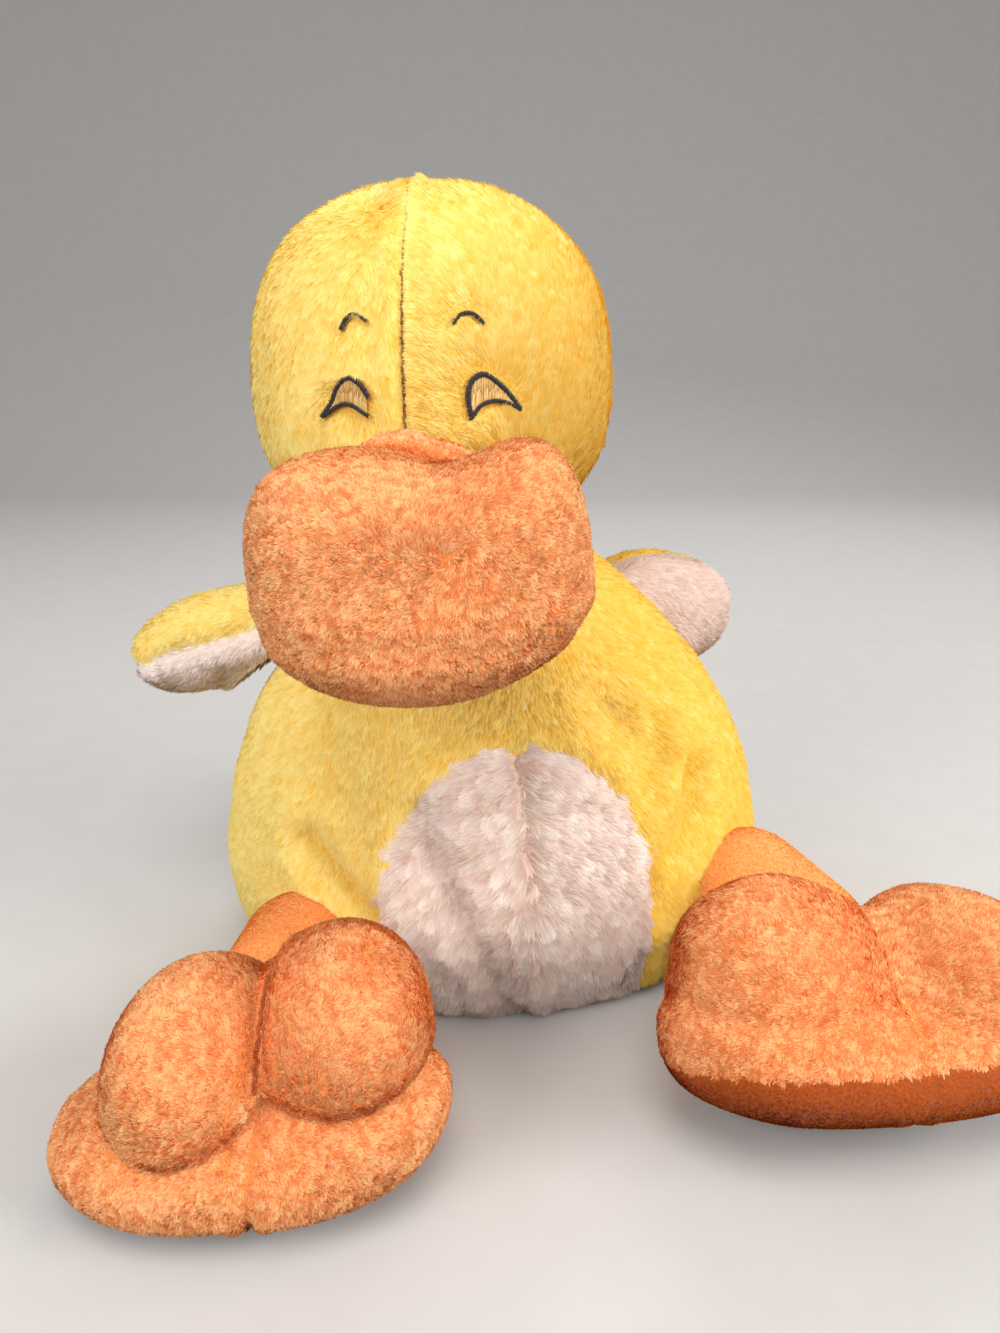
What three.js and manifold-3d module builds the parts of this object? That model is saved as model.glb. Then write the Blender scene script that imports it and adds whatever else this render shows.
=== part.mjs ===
// Plush duck, sitting: a cut and sewn soft toy with a round stuffed head, a big terry bill, two padded wings,
// a bean-filled pear-shaped body with a white belly patch, and floppy legs with two-lobed feet.
// Millimetres, +Z up. The duck faces -Y, and the origin is the middle of its flat seat.
import * as THREE from 'three';
import { mergeVertices } from 'three/addons/utils/BufferGeometryUtils.js';
import Module from 'manifold-3d';

const wasm = await Module();
wasm.setup();

// Cloth
const SEAM_GAP = 0.3;          // between two panels, and round every sewn joint
const PLUSH = 4;               // yellow and white plush, backing and pressed pile
const TERRY = 3.4;             // orange loop cloth of the bill and feet
const OVERRUN = 30;            // how far a cutter runs past what it cuts

// Body
const BODY_WIDTH = 218;
const BODY_DEPTH = 160;
const BODY_HEIGHT = 176;
const BODY_X = -4;             // the middle of the slumped body
const BODY_SEAM_X = 2;         // where the two sides meet at the back
const SEAT_CUT = 0.5;          // how much the seat is pressed flat
const BASE_RISE = 5;           // height of the seat panel's edge above the table
const BEAN_HEIGHT = 46;        // fill level of the bean pouch
const BODY_SHARES = [
  [0, 0], [0.5, 0], [0.84, 0.004], [0.94, 0.06], [0.995, 0.16], [1, 0.26], [0.96, 0.41],
  [0.88, 0.55], [0.75, 0.68], [0.57, 0.81], [0.38, 0.91], [0.18, 0.98], [0, 1],
];

// Belly patch, two halves with a seam down the middle
const BELLY_WIDTH = 94;
const BELLY_HEIGHT = 124;
const BELLY_X = 6;
const BELLY_TOP = 106;
const BELLY_DEPTH = 70;        // how far back the patch's outline cuts into the front of the body

// Neck, a padded dome that the head turns on
const NECK_RADIUS = 40;
const NECK = { x: -13, y: 0, z: 146 };

// Head
const HEAD_WIDTH = 128;
const HEAD_DEPTH = 118;
const HEAD_HEIGHT = 119;
const HEAD_X = -24;
const HEAD_Y = -9;
const HEAD_BASE = 170;
const CROWN_SEAM_Y = -20;      // the seam over the top of the head, from side to side
const FACE_SEAM_X = -29;       // the seam down the middle of the face, turned a little to one side
const HEAD_SHARES = [
  [0, 0], [0.42, 0.03], [0.76, 0.11], [0.94, 0.24], [1, 0.38], [1, 0.52], [0.95, 0.67],
  [0.82, 0.81], [0.6, 0.92], [0.32, 0.985], [0, 1],
];

// Bill, a big pillow sewn to the face
const BILL_WIDTH = 98;
const BILL_DEPTH = 84;
const BILL_HEIGHT = 72;
const BILL_X = -22;
const BILL_Y = -100;
const BILL_Z = 175;
const BILL_SQUARE = 0.68;      // 1 is an ellipsoid, less is boxier
const BILL_ROLL = 5.5;         // degrees, its +X side up
const BILL_CORNER_SHARE = 0.3; // how much further up the upper corners lie, and the lower ones too
const BILL_DIP = 6;            // how deep the top edge is drawn in
const BILL_DIP_X = 11;         // where, from the bill's middle
const BILL_DIP_WIDTH = 15;
const BILL_UNDER = 24;         // height of the under panel, up from the lowest point

// Fold over the root of the bill
const FOLD_WIDTH = 31;
const FOLD_DEPTH = 17;
const FOLD_HEIGHT = 11;
const FOLD_SQUARE = 0.9;
const FOLD_X = -27;
const FOLD_Y = -75;
const FOLD_Z = 208.5;

// Embroidered face
const STITCH_RISE = 1.5;       // how far the satin stitch stands out of the plush
const EYE_WIDTH = 15;
const EYE_HEIGHT = 13;
const EYE_TOP_SHARES = [-0.2, 0.25];   // the two ends of the arch's flat top, in shares of half the width
const EYE_Z = 214;             // height of the lower corners
const EYE_SPREAD = 43;         // from one eye's middle to the other's
const BROW_WIDTH = 9.5;
const BROW_HEIGHT = 4;
const BROW_THICK = 1.8;
const BROW_Z = 241;
const BROW_SPREAD = 34;

// Wings, padded flaps with a yellow top and a white underside. The flaps listed are degrees up from rest,
// over a wing's whole range.
const WING_LENGTH = 74;        // from the root's line to the tip
const WING_PAD_LENGTH = 94;    // of the whole rounded pad, whose root end the body cuts off
const WING_CHORD = 52;
const WING_THICK = 44;
const WING_SQUARE = 0.9;
const WING_THIN_SHARE = 0.35;  // how much thinner the pad is at its root
const WING_ROOT_RADIUS = 9;
const WING_ROOT_CHORD = 34;
const WING_LEFT = {
  x: -77, y: 10, z: 135, yaw: 4, droop: 18, roll: -10, side: -1, flaps: [-15, -5, 5, 15, 25, 35],
};
const WING_RIGHT = {
  x: 47, y: 37, z: 129, yaw: 40, droop: 10, roll: -82, side: 1, flaps: [-20, -10, 0, 10, 20, 30],
};

// Tail, a small stuffed peak on the back seam
const TAIL_LENGTH = 34;
const TAIL_WIDTH = 36;
const TAIL_THICK = 18;
const TAIL_TAPER_SHARE = 0.45; // how much narrower it is at its tip
const TAIL_SINK = 4;           // how far its middle lies inside the back of the body
const TAIL_Z = 44;
const TAIL_TILT = 48;

// Legs, short stuffed tubes from the hip seam to the ankle seam
const HIP_RADIUS = 23;
const ANKLE_RADIUS = 22;
const LEG_SWELL = 0.5;         // how much fuller the tube is between its ends
const LEG_OPENING = 11;        // open end of the leg's cloth tube, inside the hip
const HIP_SWING = 18;          // degrees that a leg splays to either side of its rest
const ANKLE_SWING = 14;        // degrees that a foot tips to either side of the middle of its range
const FLARE_LENGTH = 45;       // how far the seats open outwards along the leg
const HIP_LEFT = { x: -72, y: -66, z: 27 };
const ANKLE_LEFT = { x: -73, y: -96, z: 30 };
const HIP_RIGHT = { x: 93, y: -46, z: 42 };
const ANKLE_RIGHT = { x: 106, y: -78, z: 40 };

// Feet: a wide sole cushion below two puffy toe lobes
const SOLE_LENGTH = 86;
const SOLE_THICK = 44;
const SOLE_SQUARE = 0.86;
const HEEL_TAPER_SHARE = 0.3;  // how much narrower the sole is at its heel
const LOBE_LENGTH = 72;
const LOBE_HEIGHT = 60;
const LOBE_AHEAD = 36;
const LOBE_RISE = 46;          // the lobes' middle above the bottom of the sole
// Each foot: where the toes point and how far they are tipped up. Then how wide its sole is pressed, how
// much higher that is towards +X and how far its middle lies ahead of the ankle. Then how wide the lobes
// are, how far apart their middles lie and how far they have shifted. Its outer lobe has slumped down and
// slid forward.
const FOOT_LEFT = {
  heading: 0, toesUp: 0, soleWidth: 120, slant: 10, soleAhead: 40,
  lobeWidth: 57, spread: 38, shift: 7, outer: -1, slump: 7, slide: 8,
};
const FOOT_RIGHT = {
  heading: 8, toesUp: 24, soleWidth: 130, slant: -12, soleAhead: 35,
  lobeWidth: 68, spread: 55, shift: 3, outer: 1, slump: 6, slide: 0,
};

// Facets
const AROUND_BODY = 28;
const RINGS_BODY = 14;
const AROUND_WING = 20;
const AROUND_LIMB = 16;
const RINGS_LIMB = 8;
const COARSE_SHARE = 0.6;      // the inner faces have fewer facets

const radians = (degrees) => THREE.MathUtils.degToRad(degrees);

// Facet counts for a surface at an inset: fine outside, coarse inside.
function facets(around, rings, inset) {
  const share = inset > 0 ? COARSE_SHARE : 1;
  return [2 * Math.round(share * around / 2), 2 * Math.round(share * rings / 2)];
}

// A faceted seat must clear a faceted ball at any turn, so it is wider by what the flats cut off.
function seatRadius(radius, around, rings) {
  return (radius + SEAM_GAP) / (Math.cos(Math.PI / around) * Math.cos(Math.PI / (2 * rings)));
}

// Turns a closed geometry into a solid: shared corners are merged and slivers at the poles dropped.
function solid(geometry) {
  const bare = geometry.clone();
  bare.deleteAttribute('normal');
  bare.deleteAttribute('uv');
  const merged = mergeVertices(bare);
  const corners = [];
  for (let i = 0; i < merged.index.count; i += 3) {
    const [a, b, c] = [0, 1, 2].map((k) => merged.index.getX(i + k));
    if (a !== b && b !== c && c !== a) corners.push(a, b, c);
  }
  const mesh = new wasm.Mesh({
    numProp: 3,
    vertProperties: new Float32Array(merged.attributes.position.array),
    triVerts: new Uint32Array(corners),
  });
  return new wasm.Manifold(mesh);
}

// A profile of [radius share, height share] turned about Z and stretched to size, standing on z = base.
function turned(shares, { width, depth, height, base }, around, rings) {
  const curve = new THREE.SplineCurve(shares.map(([r, z]) => new THREE.Vector2(r, z)));
  const points = curve.getSpacedPoints(rings).map((p) => new THREE.Vector2(Math.max(0, p.x), p.y));
  points[0].x = 0;
  points[rings].x = 0;
  const geometry = new THREE.LatheGeometry(points, around);
  geometry.rotateX(Math.PI / 2);
  geometry.scale(width / 2, depth / 2, height);
  geometry.translate(0, 0, base);
  return geometry;
}

// Moves every corner of a geometry by a function of its place.
function reshaped(geometry, move) {
  const place = geometry.attributes.position;
  const p = new THREE.Vector3();
  for (let i = 0; i < place.count; i++) {
    p.fromBufferAttribute(place, i);
    move(p);
    place.setXYZ(i, p.x, p.y, p.z);
  }
  return geometry;
}

// A rounded cushion: an ellipsoid when square is 1, and boxier as square falls.
function cushion({ width, depth, height, square }, around, rings) {
  const bulge = (share) => Math.sign(share) * Math.abs(share) ** square;
  const geometry = new THREE.SphereGeometry(1, around, rings);
  geometry.rotateX(Math.PI / 2);
  return reshaped(geometry, (p) => {
    const flat = Math.hypot(p.x, p.y) || 1;
    const reach = bulge(flat);
    p.set(bulge(p.x / flat) * reach, bulge(p.y / flat) * reach, bulge(p.z));
    p.multiply(new THREE.Vector3(width / 2, depth / 2, height / 2));
  });
}

function ball(radius, { x, y, z }, around = AROUND_LIMB, rings = RINGS_LIMB) {
  const geometry = new THREE.SphereGeometry(radius, around, rings);
  return solid(geometry.translate(x, y, z));
}

// Further than any piece lies from the origin
const REACH = BODY_WIDTH + BODY_HEIGHT + HEAD_HEIGHT;

// A block that fills one side of a plane: everything with the axis value between low and high.
function slab(axis, low, high) {
  const size = { x: 2 * REACH, y: 2 * REACH, z: 2 * REACH };
  size[axis] = high - low;
  const middle = { x: 0, y: 0, z: 0 };
  middle[axis] = (low + high) / 2;
  const block = new THREE.BoxGeometry(size.x, size.y, size.z);
  return solid(block.translate(middle.x, middle.y, middle.z));
}

const above = (z) => slab('z', z, REACH);
const below = (z) => slab('z', -REACH, z);
const leftOf = (x) => slab('x', -REACH, x);
const rightOf = (x) => slab('x', x, REACH);
const before = (y) => slab('y', -REACH, y);
const behind = (y) => slab('y', y, REACH);

// Forms. Each takes an inset, so a skin's inside and its stuffing follow the outside.
function bodyForm(inset) {
  const size = {
    width: BODY_WIDTH - 2 * inset,
    depth: BODY_DEPTH - 2 * inset,
    height: BODY_HEIGHT + SEAT_CUT - 2 * inset,
    base: inset - SEAT_CUT,
  };
  const counts = facets(AROUND_BODY, RINGS_BODY, inset);
  const pear = turned(BODY_SHARES, size, ...counts).translate(BODY_X, 0, 0);
  const neck = ball(NECK_RADIUS - inset, NECK, ...counts);
  return solid(pear).add(neck).subtract(below(inset));
}

function headForm(inset) {
  const size = {
    width: HEAD_WIDTH - 2 * inset,
    depth: HEAD_DEPTH - 2 * inset,
    height: HEAD_HEIGHT - 2 * inset,
    base: HEAD_BASE + inset,
  };
  const counts = facets(AROUND_BODY, RINGS_BODY, inset);
  return solid(turned(HEAD_SHARES, size, ...counts).translate(HEAD_X, HEAD_Y, 0));
}

function billForm(inset) {
  const size = {
    width: BILL_WIDTH - 2 * inset,
    depth: BILL_DEPTH - 2 * inset,
    height: BILL_HEIGHT - 2 * inset,
    square: BILL_SQUARE,
  };
  const pillow = reshaped(cushion(size, ...facets(AROUND_BODY, RINGS_BODY, inset)), (p) => {
    p.z *= 1 + Math.sign(p.z) * BILL_CORNER_SHARE * (2 * p.x / BILL_WIDTH) ** 2;
    const upper = Math.max(0, p.z) / BILL_HEIGHT;
    p.z -= 2 * BILL_DIP * upper * Math.exp(-(((p.x - BILL_DIP_X) / BILL_DIP_WIDTH) ** 2));
  });
  return solid(pillow.rotateY(radians(-BILL_ROLL)).translate(BILL_X, BILL_Y, BILL_Z));
}

// A leg from the hip to the ankle: round ends, a little fuller between them.
function legForm(hip, ankle, inset) {
  const start = new THREE.Vector3(hip.x, hip.y, hip.z);
  const end = new THREE.Vector3(ankle.x, ankle.y, ankle.z);
  const length = start.distanceTo(end);
  const [around, rings] = facets(AROUND_LIMB, RINGS_LIMB, inset);
  const hipEnd = new THREE.Path().absarc(0, 0, HIP_RADIUS - inset, -Math.PI / 2, 0);
  const ankleEnd = new THREE.Path().absarc(0, length, ANKLE_RADIUS - inset, 0, Math.PI / 2);
  const points = [...hipEnd.getPoints(rings / 2)];
  const fullest = Math.max(HIP_RADIUS, ANKLE_RADIUS) + LEG_SWELL - inset;
  points.push(new THREE.Vector2(fullest, length / 2));
  points.push(...ankleEnd.getPoints(rings / 2));
  points[0].x = 0;
  points[points.length - 1].x = 0;
  const tube = new THREE.LatheGeometry(points, around);
  const turn = new THREE.Quaternion().setFromUnitVectors(
    new THREE.Vector3(0, 1, 0), end.clone().sub(start).normalize());
  return solid(tube.applyQuaternion(turn).translate(start.x, start.y, start.z));
}

// Places a foot's own shape, whose ankle is at its origin and whose toes point along -Y.
function atAnkle(geometry, ankle, foot) {
  geometry.rotateX(radians(-foot.toesUp));
  geometry.rotateZ(radians(foot.heading));
  return geometry.translate(ankle.x, ankle.y, ankle.z);
}

function solePad(ankle, foot, inset) {
  const size = {
    width: foot.soleWidth - 2 * inset,
    depth: SOLE_LENGTH - 2 * inset,
    height: SOLE_THICK - 2 * inset,
    square: SOLE_SQUARE,
  };
  const pad = cushion(size, ...facets(AROUND_BODY, RINGS_LIMB, inset));
  reshaped(pad, (p) => {
    p.z += foot.slant * (p.x / foot.soleWidth) * (2 * p.z / SOLE_THICK + 1);
    p.x *= 1 - (HEEL_TAPER_SHARE * Math.max(0, p.y)) / (SOLE_LENGTH / 2);
  });
  return atAnkle(pad.translate(0, -foot.soleAhead, SOLE_THICK / 2 - ankle.z), ankle, foot);
}

function soleForm(ankle, foot, inset) {
  return solid(solePad(ankle, foot, inset)).translate([0, 0, footLift(ankle, foot)]);
}

// How far a tipped foot is lifted or lowered to press its lowest part flat on the table.
function footLift(ankle, foot) {
  const pad = solePad(ankle, foot, 0);
  pad.computeBoundingBox();
  return -SEAT_CUT - pad.boundingBox.min.z;
}

function lobesForm(ankle, foot, inset) {
  const counts = facets(AROUND_LIMB, RINGS_LIMB, inset);
  const lobes = [-1, 1].map((side) => {
    const outer = side === foot.outer ? 1 : 0;
    const size = {
      width: foot.lobeWidth - 2 * inset,
      depth: LOBE_LENGTH - 2 * inset,
      height: LOBE_HEIGHT - 2 * inset,
      square: 1,
    };
    const ahead = LOBE_AHEAD + outer * foot.slide;
    const rise = LOBE_RISE - ankle.z - outer * foot.slump;
    const lobe = cushion(size, ...counts).translate(side * foot.spread / 2 + foot.shift, -ahead, rise);
    return solid(atAnkle(lobe, ankle, foot));
  });
  return lobes[0].add(lobes[1]).translate([0, 0, footLift(ankle, foot)]);
}

// A wing lies along +X from its root, with its chord along Y, before it is turned to its side of the body.
function shoulder(wing) {
  const angles = new THREE.Euler(radians(wing.roll), radians(wing.droop), radians(wing.yaw), 'ZYX');
  const turn = new THREE.Matrix4().makeRotationFromEuler(angles);
  const side = new THREE.Matrix4().makeScale(wing.side, 1, 1);
  return new THREE.Matrix4().makeTranslation(wing.x, wing.y, wing.z).multiply(side).multiply(turn);
}

// A mirrored wing has its corners wound the other way, so that its faces still point out.
function atShoulder(geometry, wing) {
  geometry.applyMatrix4(shoulder(wing));
  if (wing.side > 0) return geometry;
  const index = geometry.index;
  for (let i = 0; i < index.count; i += 3) {
    const first = index.getX(i);
    index.setX(i, index.getX(i + 1));
    index.setX(i + 1, first);
  }
  return geometry;
}

function wingForm(wing) {
  const size = { width: WING_PAD_LENGTH, depth: WING_CHORD, height: WING_THICK, square: WING_SQUARE };
  const pad = reshaped(cushion(size, AROUND_WING, RINGS_LIMB), (p) => {
    const share = p.x / WING_PAD_LENGTH + 1 / 2;
    p.z *= 1 - WING_THIN_SHARE * (1 - share);
    p.x += WING_LENGTH - WING_PAD_LENGTH / 2;
  });
  // Near its root the pad is drawn in, so that it clears the body wherever it flaps.
  const place = shoulder(wing);
  const back = place.clone().invert();
  const body = bodyForm(-SEAM_GAP);
  const clear = wing.flaps.reduce((rest, flap) => {
    const swing = place.clone().multiply(new THREE.Matrix4().makeRotationY(radians(flap))).multiply(back);
    return rest.subtract(body.transform(swing.elements));
  }, solid(atShoulder(pad, wing)));
  return clear.add(wingRoot(wing, 0));
}

// The sewn root is round about the line that the wing flaps on.
function wingRoot(wing, clearance) {
  const root = new THREE.SphereGeometry(1, AROUND_LIMB, RINGS_LIMB);
  const flats = clearance ? Math.cos(Math.PI / AROUND_LIMB) : 1;
  const radius = (WING_ROOT_RADIUS + clearance) / flats;
  root.scale(radius, WING_ROOT_CHORD / 2 + 2 * clearance, radius);
  return solid(atShoulder(root, wing));
}

// The plane of the wing's edge seam parts its top from its underside.
function wingSide(wing, sign) {
  const reach = 2 * WING_LENGTH;
  const block = new THREE.BoxGeometry(2 * reach, 2 * reach, reach);
  block.translate(0, 0, sign * (reach + SEAM_GAP) / 2);
  return solid(atShoulder(block, wing));
}

// Pieces, added to the duck one by one
const duck = new THREE.Group();
duck.name = 'plush_duck';

const cloth = (color, roughness = 0.95) => new THREE.MeshStandardMaterial({ color, roughness, metalness: 0 });
const YELLOW = 0xf0d968;
const WHITE = 0xe9dcd8;
const ORANGE = 0xf09a5c;
const DEEP_ORANGE = 0xd9743c;
const THREAD = 0x2b2a33;
const FIBRE = 0xf4f3ee;
const POUCH = 0xd8d2c4;

// Loose scraps that a cut leaves behind are thrown away with the offcuts.
const largest = (shape) => shape.decompose().reduce((a, b) => (b.volume() > a.volume() ? b : a));

function piece(name, shape, material) {
  const { vertProperties, triVerts, numProp } = largest(shape).getMesh();
  const geometry = new THREE.BufferGeometry();
  const places = new Float32Array((vertProperties.length / numProp) * 3);
  for (let i = 0; i < places.length / 3; i++) {
    for (let k = 0; k < 3; k++) places[3 * i + k] = vertProperties[numProp * i + k];
  }
  geometry.setAttribute('position', new THREE.BufferAttribute(places, 3));
  geometry.setIndex(new THREE.BufferAttribute(new Uint32Array(triVerts), 1));
  geometry.computeVertexNormals();
  const mesh = new THREE.Mesh(geometry, material);
  mesh.name = name;
  duck.add(mesh);
}

// The seat of a leg's round end: a hollow for the ball that opens out, so that the leg can swing in it.
function legSeat(from, toward, radius, swing) {
  const seated = seatRadius(radius + LEG_SWELL, AROUND_LIMB, RINGS_LIMB);
  const mouth = seated + FLARE_LENGTH * Math.tan(radians(swing));
  const flare = new THREE.CylinderGeometry(mouth, seated, FLARE_LENGTH, AROUND_LIMB);
  flare.translate(0, FLARE_LENGTH / 2, 0);
  const start = new THREE.Vector3(from.x, from.y, from.z);
  const axis = new THREE.Vector3(toward.x, toward.y, toward.z).sub(start).normalize();
  flare.applyQuaternion(new THREE.Quaternion().setFromUnitVectors(new THREE.Vector3(0, 1, 0), axis));
  return solid(flare.translate(from.x, from.y, from.z)).add(ball(seated, from));
}

// Hip and shoulder seats that the body is hollowed for
const hipSeats = [
  legSeat(HIP_LEFT, ANKLE_LEFT, HIP_RADIUS, HIP_SWING),
  legSeat(HIP_RIGHT, ANKLE_RIGHT, HIP_RADIUS, HIP_SWING),
];
const wingSeats = [WING_LEFT, WING_RIGHT].map((wing) => wingRoot(wing, SEAM_GAP));

function hollowed(shape) {
  return [...hipSeats, ...wingSeats].reduce((rest, seat) => rest.subtract(seat), shape);
}

function bellyColumn(clearance) {
  const outline = new THREE.Shape().absellipse(
    0, 0, BELLY_WIDTH / 2 + clearance, BELLY_HEIGHT / 2 + clearance, 0, 2 * Math.PI);
  const column = new THREE.ExtrudeGeometry(outline, {
    depth: BELLY_DEPTH + OVERRUN, bevelEnabled: false, curveSegments: AROUND_BODY / 2,
  });
  column.rotateX(Math.PI / 2);
  return solid(column.translate(BELLY_X, BELLY_DEPTH - BODY_DEPTH / 2, BELLY_TOP - BELLY_HEIGHT / 2));
}

function addBody() {
  const skin = hollowed(bodyForm(0).subtract(bodyForm(PLUSH)));
  const seat = skin.intersect(below(BASE_RISE));
  const upper = skin.intersect(above(BASE_RISE + SEAM_GAP));
  const sides = upper.subtract(bellyColumn(SEAM_GAP));
  const belly = upper.intersect(bellyColumn(0)).intersect(before(0));
  const half = SEAM_GAP / 2;
  piece('body_left', sides.intersect(leftOf(BODY_SEAM_X - half)), cloth(YELLOW));
  piece('body_right', sides.intersect(rightOf(BODY_SEAM_X + half)), cloth(YELLOW));
  piece('belly_left', belly.intersect(leftOf(BELLY_X - half)), cloth(WHITE));
  piece('belly_right', belly.intersect(rightOf(BELLY_X + half)), cloth(WHITE));
  piece('seat_panel', seat, cloth(WHITE));

  const filling = hollowed(bodyForm(PLUSH + SEAM_GAP));
  piece('bean_pouch', filling.intersect(below(BEAN_HEIGHT - half)), cloth(POUCH));
  piece('body_stuffing', filling.intersect(above(BEAN_HEIGHT + half)), cloth(FIBRE));
}

function addHead() {
  const neckSeat = ball(seatRadius(NECK_RADIUS, AROUND_BODY, RINGS_BODY), NECK, AROUND_BODY, RINGS_BODY);
  const skin = headForm(0).subtract(headForm(PLUSH)).subtract(neckSeat);
  const face = skin.intersect(before(CROWN_SEAM_Y));
  const half = SEAM_GAP / 2;
  piece('head_left', face.intersect(leftOf(FACE_SEAM_X - half)), cloth(YELLOW));
  piece('head_right', face.intersect(rightOf(FACE_SEAM_X + half)), cloth(YELLOW));
  piece('head_back', skin.intersect(behind(CROWN_SEAM_Y + SEAM_GAP)), cloth(YELLOW));
  piece('head_stuffing', headForm(PLUSH + SEAM_GAP).subtract(neckSeat), cloth(FIBRE));
}

function addBill() {
  const besideHead = headForm(-SEAM_GAP);
  const skin = billForm(0).subtract(billForm(TERRY)).subtract(besideHead);
  const seam = BILL_Z - BILL_HEIGHT / 2 + BILL_UNDER;
  piece('bill_upper', skin.intersect(above(seam + SEAM_GAP)), cloth(ORANGE));
  piece('bill_under', skin.intersect(below(seam)), cloth(ORANGE));
  piece('bill_stuffing', billForm(TERRY + SEAM_GAP).subtract(besideHead), cloth(FIBRE));

  const size = { width: FOLD_WIDTH, depth: FOLD_DEPTH, height: FOLD_HEIGHT, square: FOLD_SQUARE };
  const fold = solid(cushion(size, AROUND_LIMB, RINGS_LIMB).translate(FOLD_X, FOLD_Y, FOLD_Z));
  piece('bill_fold', fold.subtract(besideHead).subtract(billForm(-SEAM_GAP)), cloth(DEEP_ORANGE));
}

// A flat outline laid on the face as a thin raised patch of stitches.
function stitched(outline, x, z) {
  const slug = new THREE.ExtrudeGeometry(outline, {
    depth: HEAD_DEPTH, bevelEnabled: false, curveSegments: RINGS_LIMB,
  });
  slug.rotateX(Math.PI / 2);
  const column = solid(slug.translate(x, HEAD_Y, z));
  return headForm(-SEAM_GAP - STITCH_RISE).subtract(headForm(-SEAM_GAP)).intersect(column);
}

function addFace() {
  const half = EYE_WIDTH / 2;
  const [topStart, topEnd] = EYE_TOP_SHARES.map((share) => share * half);
  for (const [side, name] of [[-1, 'left'], [1, 'right']]) {
    // A smiling closed eye: a tall rounded arch over a shallow one.
    const eye = new THREE.Shape();
    eye.moveTo(-half, 0);
    eye.quadraticCurveTo(-half, EYE_HEIGHT, topStart, EYE_HEIGHT);
    eye.quadraticCurveTo(topEnd, EYE_HEIGHT, half, 0);
    eye.quadraticCurveTo(0, EYE_HEIGHT / 2, -half, 0);
    piece('eye_' + name, stitched(eye, HEAD_X + side * EYE_SPREAD / 2, EYE_Z), cloth(THREAD));

    const brow = new THREE.Shape();
    const reach = BROW_WIDTH / 2;
    brow.moveTo(-reach, 0);
    brow.quadraticCurveTo(0, 2 * BROW_HEIGHT, reach, 0);
    brow.lineTo(reach - BROW_THICK, 0);
    brow.quadraticCurveTo(0, 2 * (BROW_HEIGHT - BROW_THICK), BROW_THICK - reach, 0);
    brow.closePath();
    piece('brow_' + name, stitched(brow, HEAD_X + side * BROW_SPREAD / 2, BROW_Z), cloth(THREAD));
  }
}

function addWing(name, wing) {
  const free = wingForm(wing);
  piece(`wing_${name}_top`, free.intersect(wingSide(wing, 1)), cloth(YELLOW));
  piece(`wing_${name}_underside`, free.intersect(wingSide(wing, -1)), cloth(WHITE));
}

function addTail() {
  const size = { width: TAIL_WIDTH, depth: TAIL_LENGTH * 2, height: TAIL_THICK, square: 1 };
  const peak = cushion(size, AROUND_LIMB, RINGS_LIMB);
  reshaped(peak, (p) => {
    p.x *= 1 - TAIL_TAPER_SHARE * Math.max(0, p.y) / TAIL_LENGTH;
  });
  peak.rotateX(radians(TAIL_TILT)).translate(BODY_X, BODY_DEPTH / 2 - TAIL_SINK, TAIL_Z);
  piece('tail', solid(peak).subtract(bodyForm(-SEAM_GAP)), cloth(YELLOW));
}

function addLeg(name, hip, ankle) {
  const axis = new THREE.Vector3(ankle.x - hip.x, ankle.y - hip.y, ankle.z - hip.z).normalize();
  const mouth = new THREE.CylinderGeometry(LEG_OPENING, LEG_OPENING, HIP_RADIUS, AROUND_LIMB);
  mouth.translate(0, -HIP_RADIUS, 0);
  mouth.applyQuaternion(new THREE.Quaternion().setFromUnitVectors(new THREE.Vector3(0, 1, 0), axis));
  mouth.translate(hip.x, hip.y, hip.z);
  const skin = legForm(hip, ankle, 0).subtract(legForm(hip, ankle, TERRY)).subtract(solid(mouth));
  piece(`leg_${name}_cloth`, skin, cloth(DEEP_ORANGE));
  piece(`leg_${name}_stuffing`, legForm(hip, ankle, TERRY + SEAM_GAP), cloth(FIBRE));
}

function addFoot(name, hip, ankle, foot) {
  const seat = legSeat(ankle, hip, ANKLE_RADIUS, ANKLE_SWING);
  const floor = below(0);
  const filling = lobesForm(ankle, foot, TERRY).add(soleForm(ankle, foot, TERRY));
  const trimmed = (shape) => shape.subtract(seat).subtract(floor);
  const lobes = lobesForm(ankle, foot, 0).subtract(soleForm(ankle, foot, -SEAM_GAP));
  piece(`foot_${name}_top`, trimmed(lobes.subtract(filling)), cloth(ORANGE));
  piece(`foot_${name}_sole`, trimmed(soleForm(ankle, foot, 0).subtract(filling)), cloth(ORANGE));
  const inner = TERRY + SEAM_GAP;
  const stuffing = lobesForm(ankle, foot, inner).add(soleForm(ankle, foot, inner));
  piece(`foot_${name}_stuffing`, trimmed(stuffing).subtract(below(inner)), cloth(FIBRE));
}

addBody();
addHead();
addBill();
addFace();
addWing('left', WING_LEFT);
addWing('right', WING_RIGHT);
addTail();
addLeg('left', HIP_LEFT, ANKLE_LEFT);
addLeg('right', HIP_RIGHT, ANKLE_RIGHT);
addFoot('left', HIP_LEFT, ANKLE_LEFT, FOOT_LEFT);
addFoot('right', HIP_RIGHT, ANKLE_RIGHT, FOOT_RIGHT);

export default duck;
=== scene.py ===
import math

import bmesh
import bpy
import numpy as np
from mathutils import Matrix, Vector
from mathutils.bvhtree import BVHTree
from mathutils.kdtree import KDTree


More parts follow.
